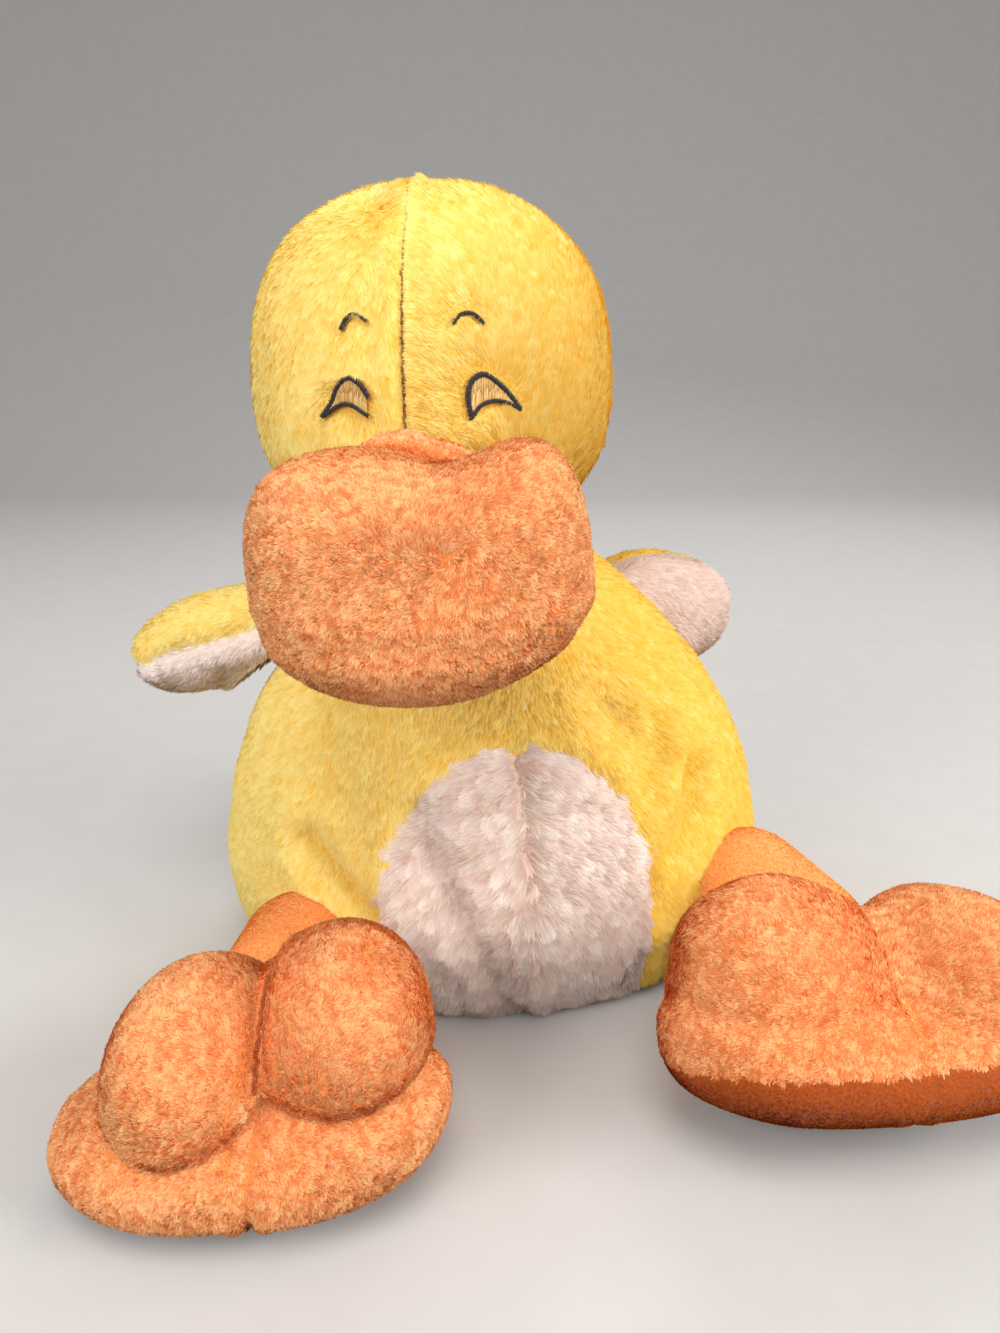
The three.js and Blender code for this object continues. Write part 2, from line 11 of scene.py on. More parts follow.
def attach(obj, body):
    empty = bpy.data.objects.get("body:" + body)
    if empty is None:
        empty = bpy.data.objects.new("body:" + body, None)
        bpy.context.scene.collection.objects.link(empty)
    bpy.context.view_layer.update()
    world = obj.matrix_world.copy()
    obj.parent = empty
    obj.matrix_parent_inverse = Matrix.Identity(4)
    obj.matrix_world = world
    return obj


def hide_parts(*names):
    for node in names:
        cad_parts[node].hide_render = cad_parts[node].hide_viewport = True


# A sitting plush duck. Sizes are in millimetres up to the last step, and the duck faces -Y.
# Each stuffed form is a ball drawn out to its shape, sewn and creased by moving its points, then cut into
# its cloth panels. The pile grows out of the panels as thin flat tufts.

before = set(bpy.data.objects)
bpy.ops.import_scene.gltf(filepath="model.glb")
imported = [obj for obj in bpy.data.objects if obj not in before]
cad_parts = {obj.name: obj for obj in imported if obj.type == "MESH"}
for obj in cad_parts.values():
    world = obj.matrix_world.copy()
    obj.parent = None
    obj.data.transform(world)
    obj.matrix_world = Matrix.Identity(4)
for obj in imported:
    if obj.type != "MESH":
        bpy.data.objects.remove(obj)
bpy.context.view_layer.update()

MM = 0.001
REACH = 400          # longer than any ray inside a form
SEARCH_STEPS = 26    # halvings that find a form's surface along a ray
FLOOR_GAP = 0.25     # the lowest that pile comes to the table; cloth stays twice as high
VIEWER = (0, -381, 234.5)
VIEWER_TILT = 72.5   # degrees up from straight down
FOCAL_LENGTH = 27    # for a picture whose longer side is 36
PICTURE_SIDE = 36

# The forms, the same sizes as in the CAD part
BODY = {"width": 218, "depth": 160, "height": 176.5, "foot": (-4, 0, -0.5)}
BODY_SHARES = [
    (0, 0), (0.5, 0), (0.84, 0.004), (0.94, 0.06), (0.995, 0.16), (1, 0.26), (0.96, 0.41),
    (0.88, 0.55), (0.75, 0.68), (0.57, 0.81), (0.38, 0.91), (0.18, 0.98), (0, 1),
]
BODY_MIDDLE = (-4, 0, 66)
BODY_SEAM_X = 2
SEAT_EDGE_Z = 5
NECK_RADIUS = 40
NECK = (-13, 0, 146)
BELLY_MIDDLE = (6, 44)
BELLY_HALF = (47, 62)
BELLY_SQUASH = 0.62  # below its middle the patch narrows this much more slowly
BELLY_SEAM = [(8.4, 4), (12.2, 36), (9.5, 66), (7.4, 90), (4.7, 106)]    # x and z
HEAD = {"width": 128, "depth": 118, "height": 119, "foot": (-24, -9, 170)}
HEAD_SHARES = [
    (0, 0), (0.42, 0.03), (0.76, 0.11), (0.94, 0.24), (1, 0.38), (1, 0.52), (0.95, 0.67),
    (0.82, 0.81), (0.6, 0.92), (0.32, 0.985), (0, 1),
]
HEAD_TOP_Z = HEAD["foot"][2] + HEAD["height"]
HEAD_MIDDLE = (-24, -9, 222)
CROWN_SEAM_Y = -20
CROWN_SEAM_LOW_Z = 190
FACE_SEAM_X = -29
BILL = {"size": (98, 84, 72), "middle": (-22, -100, 175), "square": 0.68}
BILL_ROLL = 5.5
BILL_CORNERS = 0.3
BILL_DIP = 6
BILL_DIP_X = 11
BILL_DIP_WIDTH = 15
BILL_SEAM_Z = 163
WING = {"size": (94, 52, 44), "length": 74, "square": 0.9, "root": 9, "thinner": 0.35}
# side is the way that a wing points along X, and flaps are the angles at which its cloth clears the body
WINGS = {
    "left": {
        "at": (-77, 10, 135), "yaw": 4, "droop": 18, "roll": -10, "side": -1, "flaps": (-15, 0, 17, 35),
    },
    "right": {
        "at": (47, 37, 129), "yaw": 40, "droop": 10, "roll": -82, "side": 1, "flaps": (-20, -5, 12, 30),
    },
}
TAIL = {"size": (36, 68, 18), "middle": (-4, 76, 44), "tilt": 48, "taper": 0.45}
LEG_RADIUS = 22.8
SOLE = {"length": 86, "thick": 44, "square": 0.86, "taper": 0.3, "pressed": 0.5}
LOBE = {"length": 72, "height": 60, "ahead": 36, "rise": 46}
# A foot's slant lifts one side of its sole, cleft and lip are how softly its forms meet, slump and slide move
# its outer lobe down and forwards, underside is how far below its middle the sole's cloth starts, and seam is
# how deep its seams are
FEET = {
    "left": {
        "hip": (-72, -66, 27), "ankle": (-73, -96, 30), "heading": 0, "toes_up": 0,
        "sole_width": 120, "slant": 10, "ahead": 40, "lobe_width": 57, "spread": 38, "shift": 7, "outer": -1,
        "slump": 7, "slide": 8, "cleft": 2, "lip": 2, "underside": 12, "seam": 1.5, "stitched": True,
    },
    "right": {
        "hip": (93, -46, 42), "ankle": (106, -78, 40), "heading": 8, "toes_up": 24,
        "sole_width": 130, "slant": -12, "ahead": 35, "lobe_width": 68, "spread": 55, "shift": 3, "outer": 1,
        "slump": 6, "slide": 0, "cleft": 12, "lip": 14, "underside": -2, "seam": 0.9, "stitched": False,
    },
}

# Creases: the points that each runs through, its depth and its width
BODY_CREASES = {
    "over the left hip": ([(-67.3, -61.3, 71.2), (-56.2, -68.8, 57.5), (-45.4, -73.8, 46.6)], 5, 5),
    "right of the bill": ([(34.8, -53.1, 118.9), (43.6, -55.3, 108.6), (52.6, -56.1, 97.7)], 3, 5),
    "over the right hip": (
        [(68.4, -48.9, 90.7), (68.3, -53.9, 77.3), (58.6, -63.6, 60.5), (55.1, -66.9, 48.4)], 5, 5.5),
    "under the right wing": ([(53.1, -48.3, 111.6), (54.7, -52.9, 102), (48.8, -61.6, 88.7)], 2.5, 4),
    "down the belly": ([(-27.2, -71.9, 84.1), (-20, -77, 65), (-13, -79, 50)], 5.5, 6),
    "foot of the belly": ([(-15, -78.5, 54), (-8, -80, 40), (0, -78, 20), (4, -74, 6)], 3, 4),
}

# The fold over the bill's root: two ridges, each with its size, middle and tilt, and their creases
FOLD_RIDGES = [((21, 15, 9), (-33, -76, 207), -12), ((25, 15, 9), (-18.5, -76, 205.5), 16)]
FOLD_MIDDLE = (-27, -76, 207)
FOLD_INSET = 0.6
FOLD_CREASES = {
    "between the ridges": ([(-27, -90, 214), (-27.5, -88, 208), (-27, -84, 202)], 1.8, 1.6),
    "left ridge": ([(-42, -80, 205), (-34, -84, 208), (-29, -84, 207)], 1.2, 1.1),
    "right ridge": ([(-26, -84, 208), (-19, -84, 207), (-10, -80, 203)], 1.2, 1.1),
}

# The light and the table, with sizes in metres
LAMP_SIZE = 0.8
ROOM_LIGHT = 0.42
TABLE_HALF = 2.5
WALL_HEIGHT = 2.5
BEND_SIZE = 1.2

# How far each cloth lies inside the outline, which its pile fills
PLUSH_DEPTH = 2.2
TERRY_DEPTH = 1.9
WING_DEPTH = 1.4
NAP_DEPTH = 1.0
CLOTH_THICK = 1.2

# Piles: tufts to the square millimetre and the share of them at the duck's back, their length and half their
# width, how steeply they stand and how much that varies (degrees), how much they stray from the way the cloth
# is combed (degrees), how strongly they gather into locks and how far apart the locks are, how they curl, how
# much they differ in colour, and how much painted light makes them paler on the duck's -X side and deeper on
# its +X side
PLUSH = {
    "density": 6.2, "back": 0.45, "length": 5.8, "width": 0.42, "lean": 22, "sway": 6, "stray": 14,
    "gather": 0.6, "lock": 2.4, "curl": 0.05, "speckle": 0.16, "painted_light_side": 0.35,
}
FLEECE = {
    "density": 6.0, "back": 1, "length": 7.2, "width": 0.44, "lean": 27, "sway": 7, "stray": 18,
    "gather": 0.75, "lock": 3.8, "curl": 0.1, "speckle": 0.2, "painted_light_side": 0,
}
TERRY = {
    "density": 9.0, "back": 1, "length": 3.2, "width": 0.38, "lean": 28, "sway": 9, "stray": 46,
    "gather": 0.6, "lock": 1.6, "curl": 0.14, "speckle": 0.36, "painted_light_side": 0.1,
}
NAP = {
    "density": 4.8, "back": 1, "length": 1.8, "width": 0.34, "lean": 20, "sway": 6, "stray": 50,
    "gather": 0.2, "lock": 1.5, "curl": 0.2, "speckle": 0.12, "painted_light_side": 0,
}
HEAD_PILE = {**PLUSH, "density": 8.4}
WING_PILE = {**PLUSH, "length": 7, "lean": 28, "stray": 20}
SEAT_PILE = {**FLEECE, "density": 1.6, "length": 4}
BILL_PILE = {**TERRY, "density": 11.8}
FOLD_PILE = {**TERRY, "length": 1.6, "density": 11}
RIM_PILE = {**TERRY, "length": 2.6}
ROOT_DEPTH = 0.4     # how far a tuft's root lies in the cloth
TUFT_BOW = 0.2       # how much of its bend a flat tuft keeps
HIDDEN_DEPTH = 0.8   # no pile grows this far inside another form
THINNING_Y = (0, 30)    # where the pile thins out towards the duck's back
# painted light: the duck's -X side is painted paler and its +X side deeper, and this is how gently that
# changes
PAINTED_LIGHT_WIDTH = 60      # how gently one side of the duck grows paler
VIEW_SHARE = 0.9     # how much a tuft's front is turned to the place that the picture is taken from
MAP_PATCH = 9        # tufts this close share a patch of the map for the bake
MAP_MARGIN = 0.06
MAP_SLANT = 0.08

# The face, in x and z as seen from the front
EYES = {
    "left": {
        "over": [
            (-55.4, 215.0), (-52.2, 219.2), (-49.9, 224.0), (-46.3, 226.9), (-42.7, 225.2), (-39.9, 221.0),
        ],
        "under": [(-54.6, 215.4), (-49.2, 218.6), (-45.2, 218.4), (-40.2, 215.4)],
    },
    "right": {
        "over": [
            (-8.9, 214.6), (-10.0, 221.6), (-8.6, 226.2), (-5.2, 227.9), (-1.3, 225.6), (2.6, 221.9),
            (6.0, 217.2),
        ],
        "under": [(-8.9, 215.0), (-6.0, 218.6), (-1.5, 220.0), (2.6, 219.0), (6.0, 217.2)],
    },
}
BROWS = {
    "left": [(-48.1, 240.6), (-46.1, 243.9), (-43.4, 245.2), (-39.8, 243.0)],
    "right": [(-14.4, 241.4), (-12.5, 244.3), (-10.2, 245.4), (-7.6, 244.7), (-5.0, 242.0)],
}
LINE_WIDTH = 1.75
UNDER_WIDTH = 1.4
BROW_WIDTH = 1.45
THREAD = 0.17        # half a thread's thickness
STITCH_STEP = 0.3
STITCH_POINTS = 5
EYE_REST = 0.9       # how high the embroidery lies above the cloth
SEAM_REST = 0.5      # how high a seam's stitches lie, and how much they rise in their middle
SEAM_RISE = 0.3
SEAM_SHIFTS = (-0.5, -0.2, 0.1, 0.4)    # a seam's rows of stitches, across it
DRAWING_Y = -300     # the drawing of the face is carried back to the cloth from here


# Small sums on rows of vectors

def unit(rows):
    return rows / np.maximum(np.linalg.norm(rows, axis=-1, keepdims=True), 1e-9)


def along(rows, others):
    return (rows * others).sum(-1, keepdims=True)


def swell(distance, width):
    return np.exp(-((distance / width) ** 2))


def waves(places, size, seed):
    """Smooth lumps about as wide as size, from -1 to 1: a few plane waves added up."""
    rng = np.random.default_rng(seed)
    ways = unit(rng.normal(size=(9, 3))) * (2 * np.pi / size) * rng.uniform(0.5, 1.1, (9, 1))
    return np.sin(places @ ways.T + rng.uniform(0, 2 * np.pi, 9)).sum(-1) / 4.5


def smooth_line(points, step):
    """Points every step along a soft curve through the given ones."""
    points = np.array(points, float)
    padded = np.vstack([points[0], points, points[-1]])
    made = []
    for a, b, c, d in zip(padded, padded[1:], padded[2:], padded[3:]):
        for t in np.linspace(0, 1, 24, endpoint=False):
            v, w = (c - a) / 2, (d - b) / 2
            made.append((2 * b - 2 * c + v + w) * t**3 + (3 * c - 3 * b - 2 * v - w) * t * t + v * t + b)
    made = np.array(made + [points[-1]])
    gone = np.concatenate([[0], np.cumsum(np.linalg.norm(np.diff(made, axis=0), axis=1))])
    marks = np.linspace(0, gone[-1], max(2, round(gone[-1] / step)) if step else len(made))
    return np.stack([np.interp(marks, gone, made[:, k]) for k in range(made.shape[1])], 1)


def to_line(places, line):
    """Each place's distance to a line of points."""
    best = np.full(len(places), 1e9)
    for a, b in zip(line[:-1], line[1:]):
        edge = b - a
        t = np.clip((places - a) @ edge / max(edge @ edge, 1e-9), 0, 1)
        best = np.minimum(best, np.linalg.norm(places - a - t[:, None] * edge, axis=1))
    return best


def within(places, ring):
    """Which places in the plane lie inside a ring of points."""
    inside = np.zeros(len(places), bool)
    for (x1, y1), (x2, y2) in zip(ring, np.roll(ring, -1, axis=0)):
        crosses = (y1 > places[:, 1]) != (y2 > places[:, 1])
        reach = x1 + (places[:, 1] - y1) * (x2 - x1) / (y2 - y1 if y2 != y1 else 1e-9)
        inside ^= crosses & (places[:, 0] < reach)
    return inside


def turn(axis, degrees):
    c, s = math.cos(math.radians(degrees)), math.sin(math.radians(degrees))
    i, j = {"x": (1, 2), "y": (2, 0), "z": (0, 1)}[axis]
    made = np.eye(3)
    made[i, i] = made[j, j] = c
    made[i, j], made[j, i] = -s, s
    return made


# Forms. Each is a function that says how far outside it a place is, negative inside.

def turned(shares, width, depth, height, foot, inset=0):
    """A profile of radius and height shares, turned about an upright line and drawn out to its size."""
    waist = 0.42
    profile = smooth_line(shares, 0)
    angles = np.arctan2(profile[:, 1] - waist, np.maximum(profile[:, 0], 0))
    order = np.argsort(angles)
    angles, radii = angles[order], np.hypot(profile[:, 0], profile[:, 1] - waist)[order]
    half = np.array([width / 2 - inset, depth / 2 - inset, height - 2 * inset])
    middle = np.array(foot, float) + [0, 0, inset + waist * half[2]]

    def outside(places):
        q = (places - middle) / half
        flat = np.hypot(q[:, 0], q[:, 1])
        edge = np.interp(np.arctan2(q[:, 2], flat), angles, radii)
        reach = np.maximum(np.hypot(flat, q[:, 2]), 1e-9)
        return np.linalg.norm(places - middle, axis=1) * (1 - edge / reach)
    return outside


def cushion(size, middle=(0, 0, 0), square=1, inset=0, shaped=None):
    """A rounded pad: an ellipsoid when square is 1, boxier as it falls. shaped undoes a further shaping."""
    half = np.array(size) / 2 - inset

    def outside(places):
        q = places - np.array(middle)
        if shaped:
            q = shaped(q)
        full = (np.abs(q / half) ** (2 / square)).sum(1) ** (square / 2)
        return np.linalg.norm(q, axis=1) * (1 - 1 / np.maximum(full, 1e-9))
    return outside


def ball(middle, radius):
    return lambda places: np.linalg.norm(places - np.array(middle), axis=1) - radius


def tube(start, end, radius):
    line = np.array([start, end], float)
    return lambda places: to_line(places, line) - radius


def merged(a, b, soft):
    """Two forms as one, with a soft valley where they meet."""
    def outside(places):
        first, second = a(places), b(places)
        share = np.clip(0.5 + (second - first) / (2 * soft), 0, 1)
        return second + (first - second) * share - soft * share * (1 - share)
    return outside


def placed(form, at, turned_by, mirror=1):
    """A form made at the origin, turned and set in place."""
    flip = np.diag([mirror, 1, 1]) @ turned_by
    return lambda places: form((places - np.array(at)) @ flip)


def bill_unshaped(q):
    q = q.copy()
    width, _, height = BILL["size"]
    dip = 2 * BILL_DIP / height * swell(q[:, 0] - BILL_DIP_X, BILL_DIP_WIDTH)
    q[:, 2] /= np.where(q[:, 2] > 0, 1 - dip, 1)
    q[:, 2] /= 1 + np.sign(q[:, 2]) * BILL_CORNERS * np.minimum(1.2, (2 * q[:, 0] / width) ** 2)
    return q


def wing_unshaped(q):
    q = q - [WING["length"] - WING["size"][0] / 2, 0, 0]
    share = np.clip(q[:, 0] / WING["size"][0] + 0.5, 0, 1)
    q[:, 2] /= 1 - WING["thinner"] * (1 - share)
    return q


def tail_untapered(q):
    q = q.copy()
    q[:, 0] /= 1 - TAIL["taper"] * np.clip(q[:, 1] / (TAIL["size"][1] / 2), 0, 1)
    return q


def body_form(inset):
    pear = turned(BODY_SHARES, **BODY, inset=inset)
    return merged(pear, ball(NECK, NECK_RADIUS - inset), 3)


def head_form(inset):
    return turned(HEAD_SHARES, **HEAD, inset=inset)


def bill_form(inset):
    pillow = cushion(BILL["size"], (0, 0, 0), BILL["square"], inset, bill_unshaped)
    return placed(pillow, BILL["middle"], turn("y", -BILL_ROLL))


def wing_turn(wing):
    return turn("z", wing["yaw"]) @ turn("y", wing["droop"]) @ turn("x", wing["roll"])


def wing_form(wing, inset):
    pad = cushion(WING["size"], (0, 0, 0), WING["square"], inset, wing_unshaped)
    return placed(pad, wing["at"], wing_turn(wing), wing["side"])


def sole_size(foot):
    return np.array([foot["sole_width"], SOLE["length"], SOLE["thick"]])


def heel_share(foot, y):
    return 1 - SOLE["taper"] * np.maximum(0, y) / (SOLE["length"] / 2)


def sole_unshaped(foot):
    """Undoes a sole's narrow heel and the slant of its upper side."""
    def undo(q):
        q = q.copy()
        q[:, 0] /= heel_share(foot, q[:, 1])
        slant = foot["slant"] * q[:, 0] / foot["sole_width"]
        q[:, 2] = (q[:, 2] - slant) / (1 + 2 * slant / SOLE["thick"])
        return q
    return undo


def sole_middle(foot):
    return np.array([0, -foot["ahead"], SOLE["thick"] / 2 - foot["ankle"][2]])


def foot_frame(foot):
    """A foot's turn, and its ankle lifted so that its lowest part is pressed a little on the table."""
    by = turn("z", foot["heading"]) @ turn("x", -foot["toes_up"])
    ankle = np.array(foot["ankle"], float)
    ways = unit(np.random.default_rng(5).normal(size=(20000, 3)))
    flat = np.hypot(ways[:, 0], ways[:, 1])[:, None]

    def bulged(share):
        return np.sign(share) * np.abs(share) ** SOLE["square"]

    pad = np.hstack([bulged(ways[:, :2] / flat) * bulged(flat), bulged(ways[:, 2:])]) * sole_size(foot) / 2
    pad[:, 2] += foot["slant"] * pad[:, 0] / foot["sole_width"] * (2 * pad[:, 2] / SOLE["thick"] + 1)
    pad[:, 0] *= heel_share(foot, pad[:, 1])
    low = ((pad + sole_middle(foot)) @ by.T + ankle)[:, 2].min()
    return ankle + [0, 0, -SOLE["pressed"] - low], by


def sole_form(foot, inset):
    pad = cushion(sole_size(foot), sole_middle(foot), SOLE["square"], inset, sole_unshaped(foot))
    return placed(pad, *foot_frame(foot))


def lobe_middle(foot, side):
    outer = side == foot["outer"]
    return (
        side * foot["spread"] / 2 + foot["shift"],
        -LOBE["ahead"] - outer * foot["slide"],
        LOBE["rise"] - foot["ankle"][2] - outer * foot["slump"],
    )


def toes_form(foot, inset):
    size = (foot["lobe_width"], LOBE["length"], LOBE["height"])
    lobes = [cushion(size, lobe_middle(foot, side), 1, inset) for side in (-1, 1)]
    return placed(merged(*lobes, foot["cleft"]), *foot_frame(foot))


def foot_form(foot, inset):
    return merged(toes_form(foot, inset), sole_form(foot, inset), foot["lip"])


def leg_form(foot, inset):
    return tube(foot["hip"], foot["ankle"], LEG_RADIUS - inset)


# Shaping. A move gives how far each point of a form goes along its normal.

def seam(depth, width, distance, where=lambda p: 1):
    """The cloth drawn in along a seam, and a little full beside it."""
    def move(p):
        d = distance(p)
        return (-depth * swell(d, width) + 0.3 * depth * swell(np.abs(d) - 2.6 * width, width)) * where(p)
    return move


def crease(points, depth, width):
    line = smooth_line(points, 6)
    return seam(depth, width, lambda p: to_line(p, line))


def creases(table):
    return [crease(*row) for row in table.values()]


def lumps(height, size, seed):
    return lambda p: height * waves(p, size, seed)


def drawn_out(outside, middle, detail, moves=(), kept_clear=None):
    """A closed form: a ball's points carried out to the surface, then moved, and kept above the table."""
    form = bmesh.new()
    bmesh.ops.create_icosphere(form, subdivisions=detail, radius=1)
    ways = np.array([v.co[:] for v in form.verts])
    near, far = np.zeros(len(ways)), np.full(len(ways), float(REACH))
    for _ in range(SEARCH_STEPS):
        half = (near + far) / 2
        out = outside(np.array(middle) + ways * half[:, None]) > 0
        far, near = np.where(out, half, far), np.where(out, near, half)
    places = np.array(middle) + ways * far[:, None]
    for move in moves:
        set_places(form, places)
        normals = np.array([v.normal[:] for v in form.verts])
        places = places + normals * np.broadcast_to(move(places), len(places))[:, None]
    if kept_clear:
        places = kept_clear(places)
    places[:, 2] = np.maximum(places[:, 2], 2 * FLOOR_GAP)
    set_places(form, places)
    return form


def set_places(form, places):
    for v, place in zip(form.verts, places):
        v.co = place
    form.normal_update()


def swept_clear(wing, body):
    """Keeps a wing's cloth off the body wherever the wing flaps."""
    flip = np.diag([wing["side"], 1, 1]) @ wing_turn(wing)
    at = np.array(wing["at"], float)
    axis_x, axis_y = BODY["foot"][:2]
    rounds, upward, step = 14, 0.15, 0.5

    def clear(places):
        own = (places - at) @ flip
        for _ in range(rounds):
            for flap in wing["flaps"]:
                back = turn("y", -flap)
                p = own @ back.T @ flip.T + at
                out = unit((p - [axis_x, axis_y, 0]) * [1, 1, upward])
                short = np.maximum(0, PLUSH_DEPTH - body(p)) * (own[:, 0] > WING["root"])
                own = (p + out * short[:, None] * step - at) @ flip @ back
        return own @ flip.T + at
    return clear


# Materials

# The colours of a pile's roots, shafts and tips: the roots are darkened as painted shade between the tufts,
# and the tips are lightened as a painted sheen
PILES = {
    "yellow pile": [(236, 176, 22), (252, 228, 93), (254, 242, 178)],
    "white pile": [(208, 168, 150), (255, 238, 226), (255, 250, 244)],
    "orange pile": [(206, 84, 26), (252, 174, 102), (255, 216, 160)],
    "orange nap": [(255, 176, 92), (255, 206, 124), (255, 224, 160)],
    # the sole's nap is a deeper orange cloth, darkened further as painted shade under the feet
    "sole nap": [(160, 66, 20), (192, 92, 34), (210, 112, 48)],
    "red orange pile": [(222, 78, 26), (255, 192, 116), (255, 222, 168)],
}

# The colours of a backing's loops and of the gaps between them
BACKINGS = {
    "yellow backing": [(248, 212, 96), (232, 184, 66)],
    "white backing": [(240, 216, 200), (216, 184, 168)],
    "orange backing": [(255, 168, 84), (240, 128, 52)],
    # the sole's backing is a deeper orange too, darkened further as painted shade under the feet
    "sole backing": [(188, 90, 34), (164, 70, 22)],
}

# A thread's colour, the lighter colour of its painted highlight, and its roughness
THREADS = {
    "dark thread": [(24, 24, 32), (52, 52, 62), 0.5],
    "brown thread": [(92, 74, 38), (150, 120, 62), 0.6],
    "red thread": [(160, 66, 22), (216, 112, 52), 0.6],
    "gold thread": [(222, 166, 64), (255, 242, 176), 0.28],
}

PAPER = [(206, 204, 202), (214, 212, 210)]
PAPER_BOUNCE = (104, 92, 84)    # the colour of the light that the table throws back on the duck


def paint(colour):
    """A colour as a screen shows it, 0 to 255, as light."""
    shares = [level / 255 for level in colour]
    return tuple(c / 12.92 if c <= 0.04045 else ((c + 0.055) / 1.055) ** 2.4 for c in shares)


class Wire:
    """A value in a material, which Python's operators add nodes to."""

    def __init__(self, finish, socket):
        self.finish, self.socket = finish, socket

    def sum(self, operation, a, b):
        return self.finish.node("ShaderNodeMath", {"operation": operation}, [a, b])

    def __add__(self, other):
        return self.sum("ADD", self, other)

    def __radd__(self, other):
        return self.sum("ADD", other, self)

    def __sub__(self, other):
        return self.sum("SUBTRACT", self, other)

    def __rsub__(self, other):
        return self.sum("SUBTRACT", other, self)

    def __mul__(self, other):
        return self.sum("MULTIPLY", self, other)

    def __rmul__(self, other):
        return self.sum("MULTIPLY", other, self)

    def __pow__(self, other):
        return self.sum("POWER", self, other)


class Finish:
    """One material: a Principled shader and the nodes that feed it."""

    def __init__(self, name, **constants):
        self.material = bpy.data.materials.new(name)
        self.material.use_nodes = True
        self.tree = self.material.node_tree
        self.shader = self.tree.nodes["Principled BSDF"]
        for socket, value in constants.items():
            self.shader.inputs[socket.replace("_", " ")].default_value = value

    def node(self, kind, settings=None, inputs=(), output=0):
        made = self.tree.nodes.new(kind)
        for key, value in (settings or {}).items():
            setattr(made, key, value)
        for key, value in (inputs.items() if isinstance(inputs, dict) else enumerate(inputs)):
            if isinstance(value, Wire):
                self.tree.links.new(value.socket, made.inputs[key])
            else:
                made.inputs[key].default_value = value
        return Wire(self, made.outputs[output])

    def feed(self, socket, wire):
        self.tree.links.new(wire.socket, self.shader.inputs[socket])

    def attribute(self, name):
        return self.node("ShaderNodeAttribute", {"attribute_name": name}, output="Fac")

    def places(self):
        return self.node("ShaderNodeTexCoord", output="Object")

    def noise(self, scale, detail=2, rough=0.5):
        inputs = {"Vector": self.places(), "Scale": scale, "Detail": detail, "Roughness": rough}
        return self.node("ShaderNodeTexNoise", {}, inputs)

    def cells(self, scale):
        return self.node("ShaderNodeTexVoronoi", {}, {"Vector": self.places(), "Scale": scale})

    def mix(self, share, a, b):
        """Two colours mixed; share is from 0 to 1."""
        first, second = ((*c, 1) if isinstance(c, tuple) else c for c in (a, b))
        settings = {"data_type": "RGBA", "clamp_factor": True}
        return self.node("ShaderNodeMix", settings, {0: share, 6: first, 7: second}, output=2)

    def bump(self, height, strength, distance):
        return self.node("ShaderNodeBump", {}, {"Height": height, "Strength": strength, "Distance": distance})


def pile_finish(name, *colours):
    """Pile: deep at the root as painted shade between the tufts, light at the tip as a painted sheen, with
    tufts that differ a little and broad faded areas.
    """
    deep, main, light = map(paint, colours)
    finish = Finish(name, Roughness=0.9, Specular_IOR_Level=0)
    up, tint = finish.attribute("up"), finish.attribute("tint")
    # painted shade: the roots take the deep colour in place of the shadows that the tufts don't cast on each
    # other
    shaft = finish.mix(up, deep, main)
    # painted sheen: the upper part of each tuft turns to the light tip colour
    tipped = finish.mix((up**2) * (0.35 + 0.5 * tint), shaft, light)
    faded = finish.mix(finish.noise(26, 3) * 0.35, tipped, finish.mix(0.5, tipped, light))
    # a low tint mixes in more of the deep root colour; the tint carries the painted light of the duck's two
    # sides
    finish.feed("Base Color", finish.mix((1 - tint) * 0.6, faded, deep))
    finish.feed("Roughness", 0.78 + 0.2 * (1 - up))
    return finish.material


def backing_finish(name, *colours):
    """Knitted backing seen between the tufts."""
    loops, gaps = map(paint, colours)
    finish = Finish(name, Roughness=0.95, Sheen_Weight=0.2)
    ribs, fuzz = finish.cells(900), finish.noise(420, 4, 0.6)
    finish.feed("Base Color", finish.mix(ribs * 0.5 + fuzz * 0.5, gaps, loops))
    finish.feed("Roughness", 0.85 + 0.12 * fuzz)
    finish.feed("Normal", finish.bump(ribs + fuzz, 0.6, 0.0006))
    return finish.material


def thread_finish(name, colour, painted_shine, rough):
    """Shiny embroidery thread, with its twist along each stitch, and a painted highlight that each stitch
    shows in its own strength.
    """
    finish = Finish(name, Specular_IOR_Level=0.5, Sheen_Weight=0.1)
    twist, tint = finish.noise(2600, 2), finish.attribute("tint")
    # painted highlight: each stitch, and its twist, turn towards the lighter shine colour
    finish.feed("Base Color", finish.mix(tint * 0.75 + twist * 0.25, paint(colour), paint(painted_shine)))
    finish.feed("Roughness", rough + 0.25 * twist)
    finish.feed("Normal", finish.bump(twist, 0.35, 0.0002))
    return finish.material


FINISHES = {}
for maker, table in ((pile_finish, PILES), (backing_finish, BACKINGS), (thread_finish, THREADS)):
    for name, looks in table.items():
        FINISHES[name] = maker(name.replace(" ", "_"), *looks)

# Each cloth's slot in the record, its backing and its pile
CLOTHS = {
    "yellow plush": ("yellow_plush", "yellow backing", "yellow pile"),
    "white plush": ("white_plush", "white backing", "white pile"),
    "terry": ("orange_terry", "orange backing", "orange pile"),
    "fold cloth": ("orange_cloth", "orange backing", "red orange pile"),
    "leg cloth": ("orange_cloth", "orange backing", "orange nap"),
    "sole cloth": ("orange_cloth", "sole backing", "sole nap"),
}


# Panels and pile

def whole_form(p):
    return np.ones(len(p), bool)


def comb_along(way, size, seeds, stray):
    """A way to comb in, with smooth swirls about as wide as size."""
    return lambda p: way + stray * np.stack([waves(p, size, seed) for seed in seeds], 1)


def trimmed(gap, clear, shortest, reach=4.5):
    """The share of its length that pile keeps at a gap from a line of stitches."""
    return np.clip((gap - clear) / reach, shortest, 1)


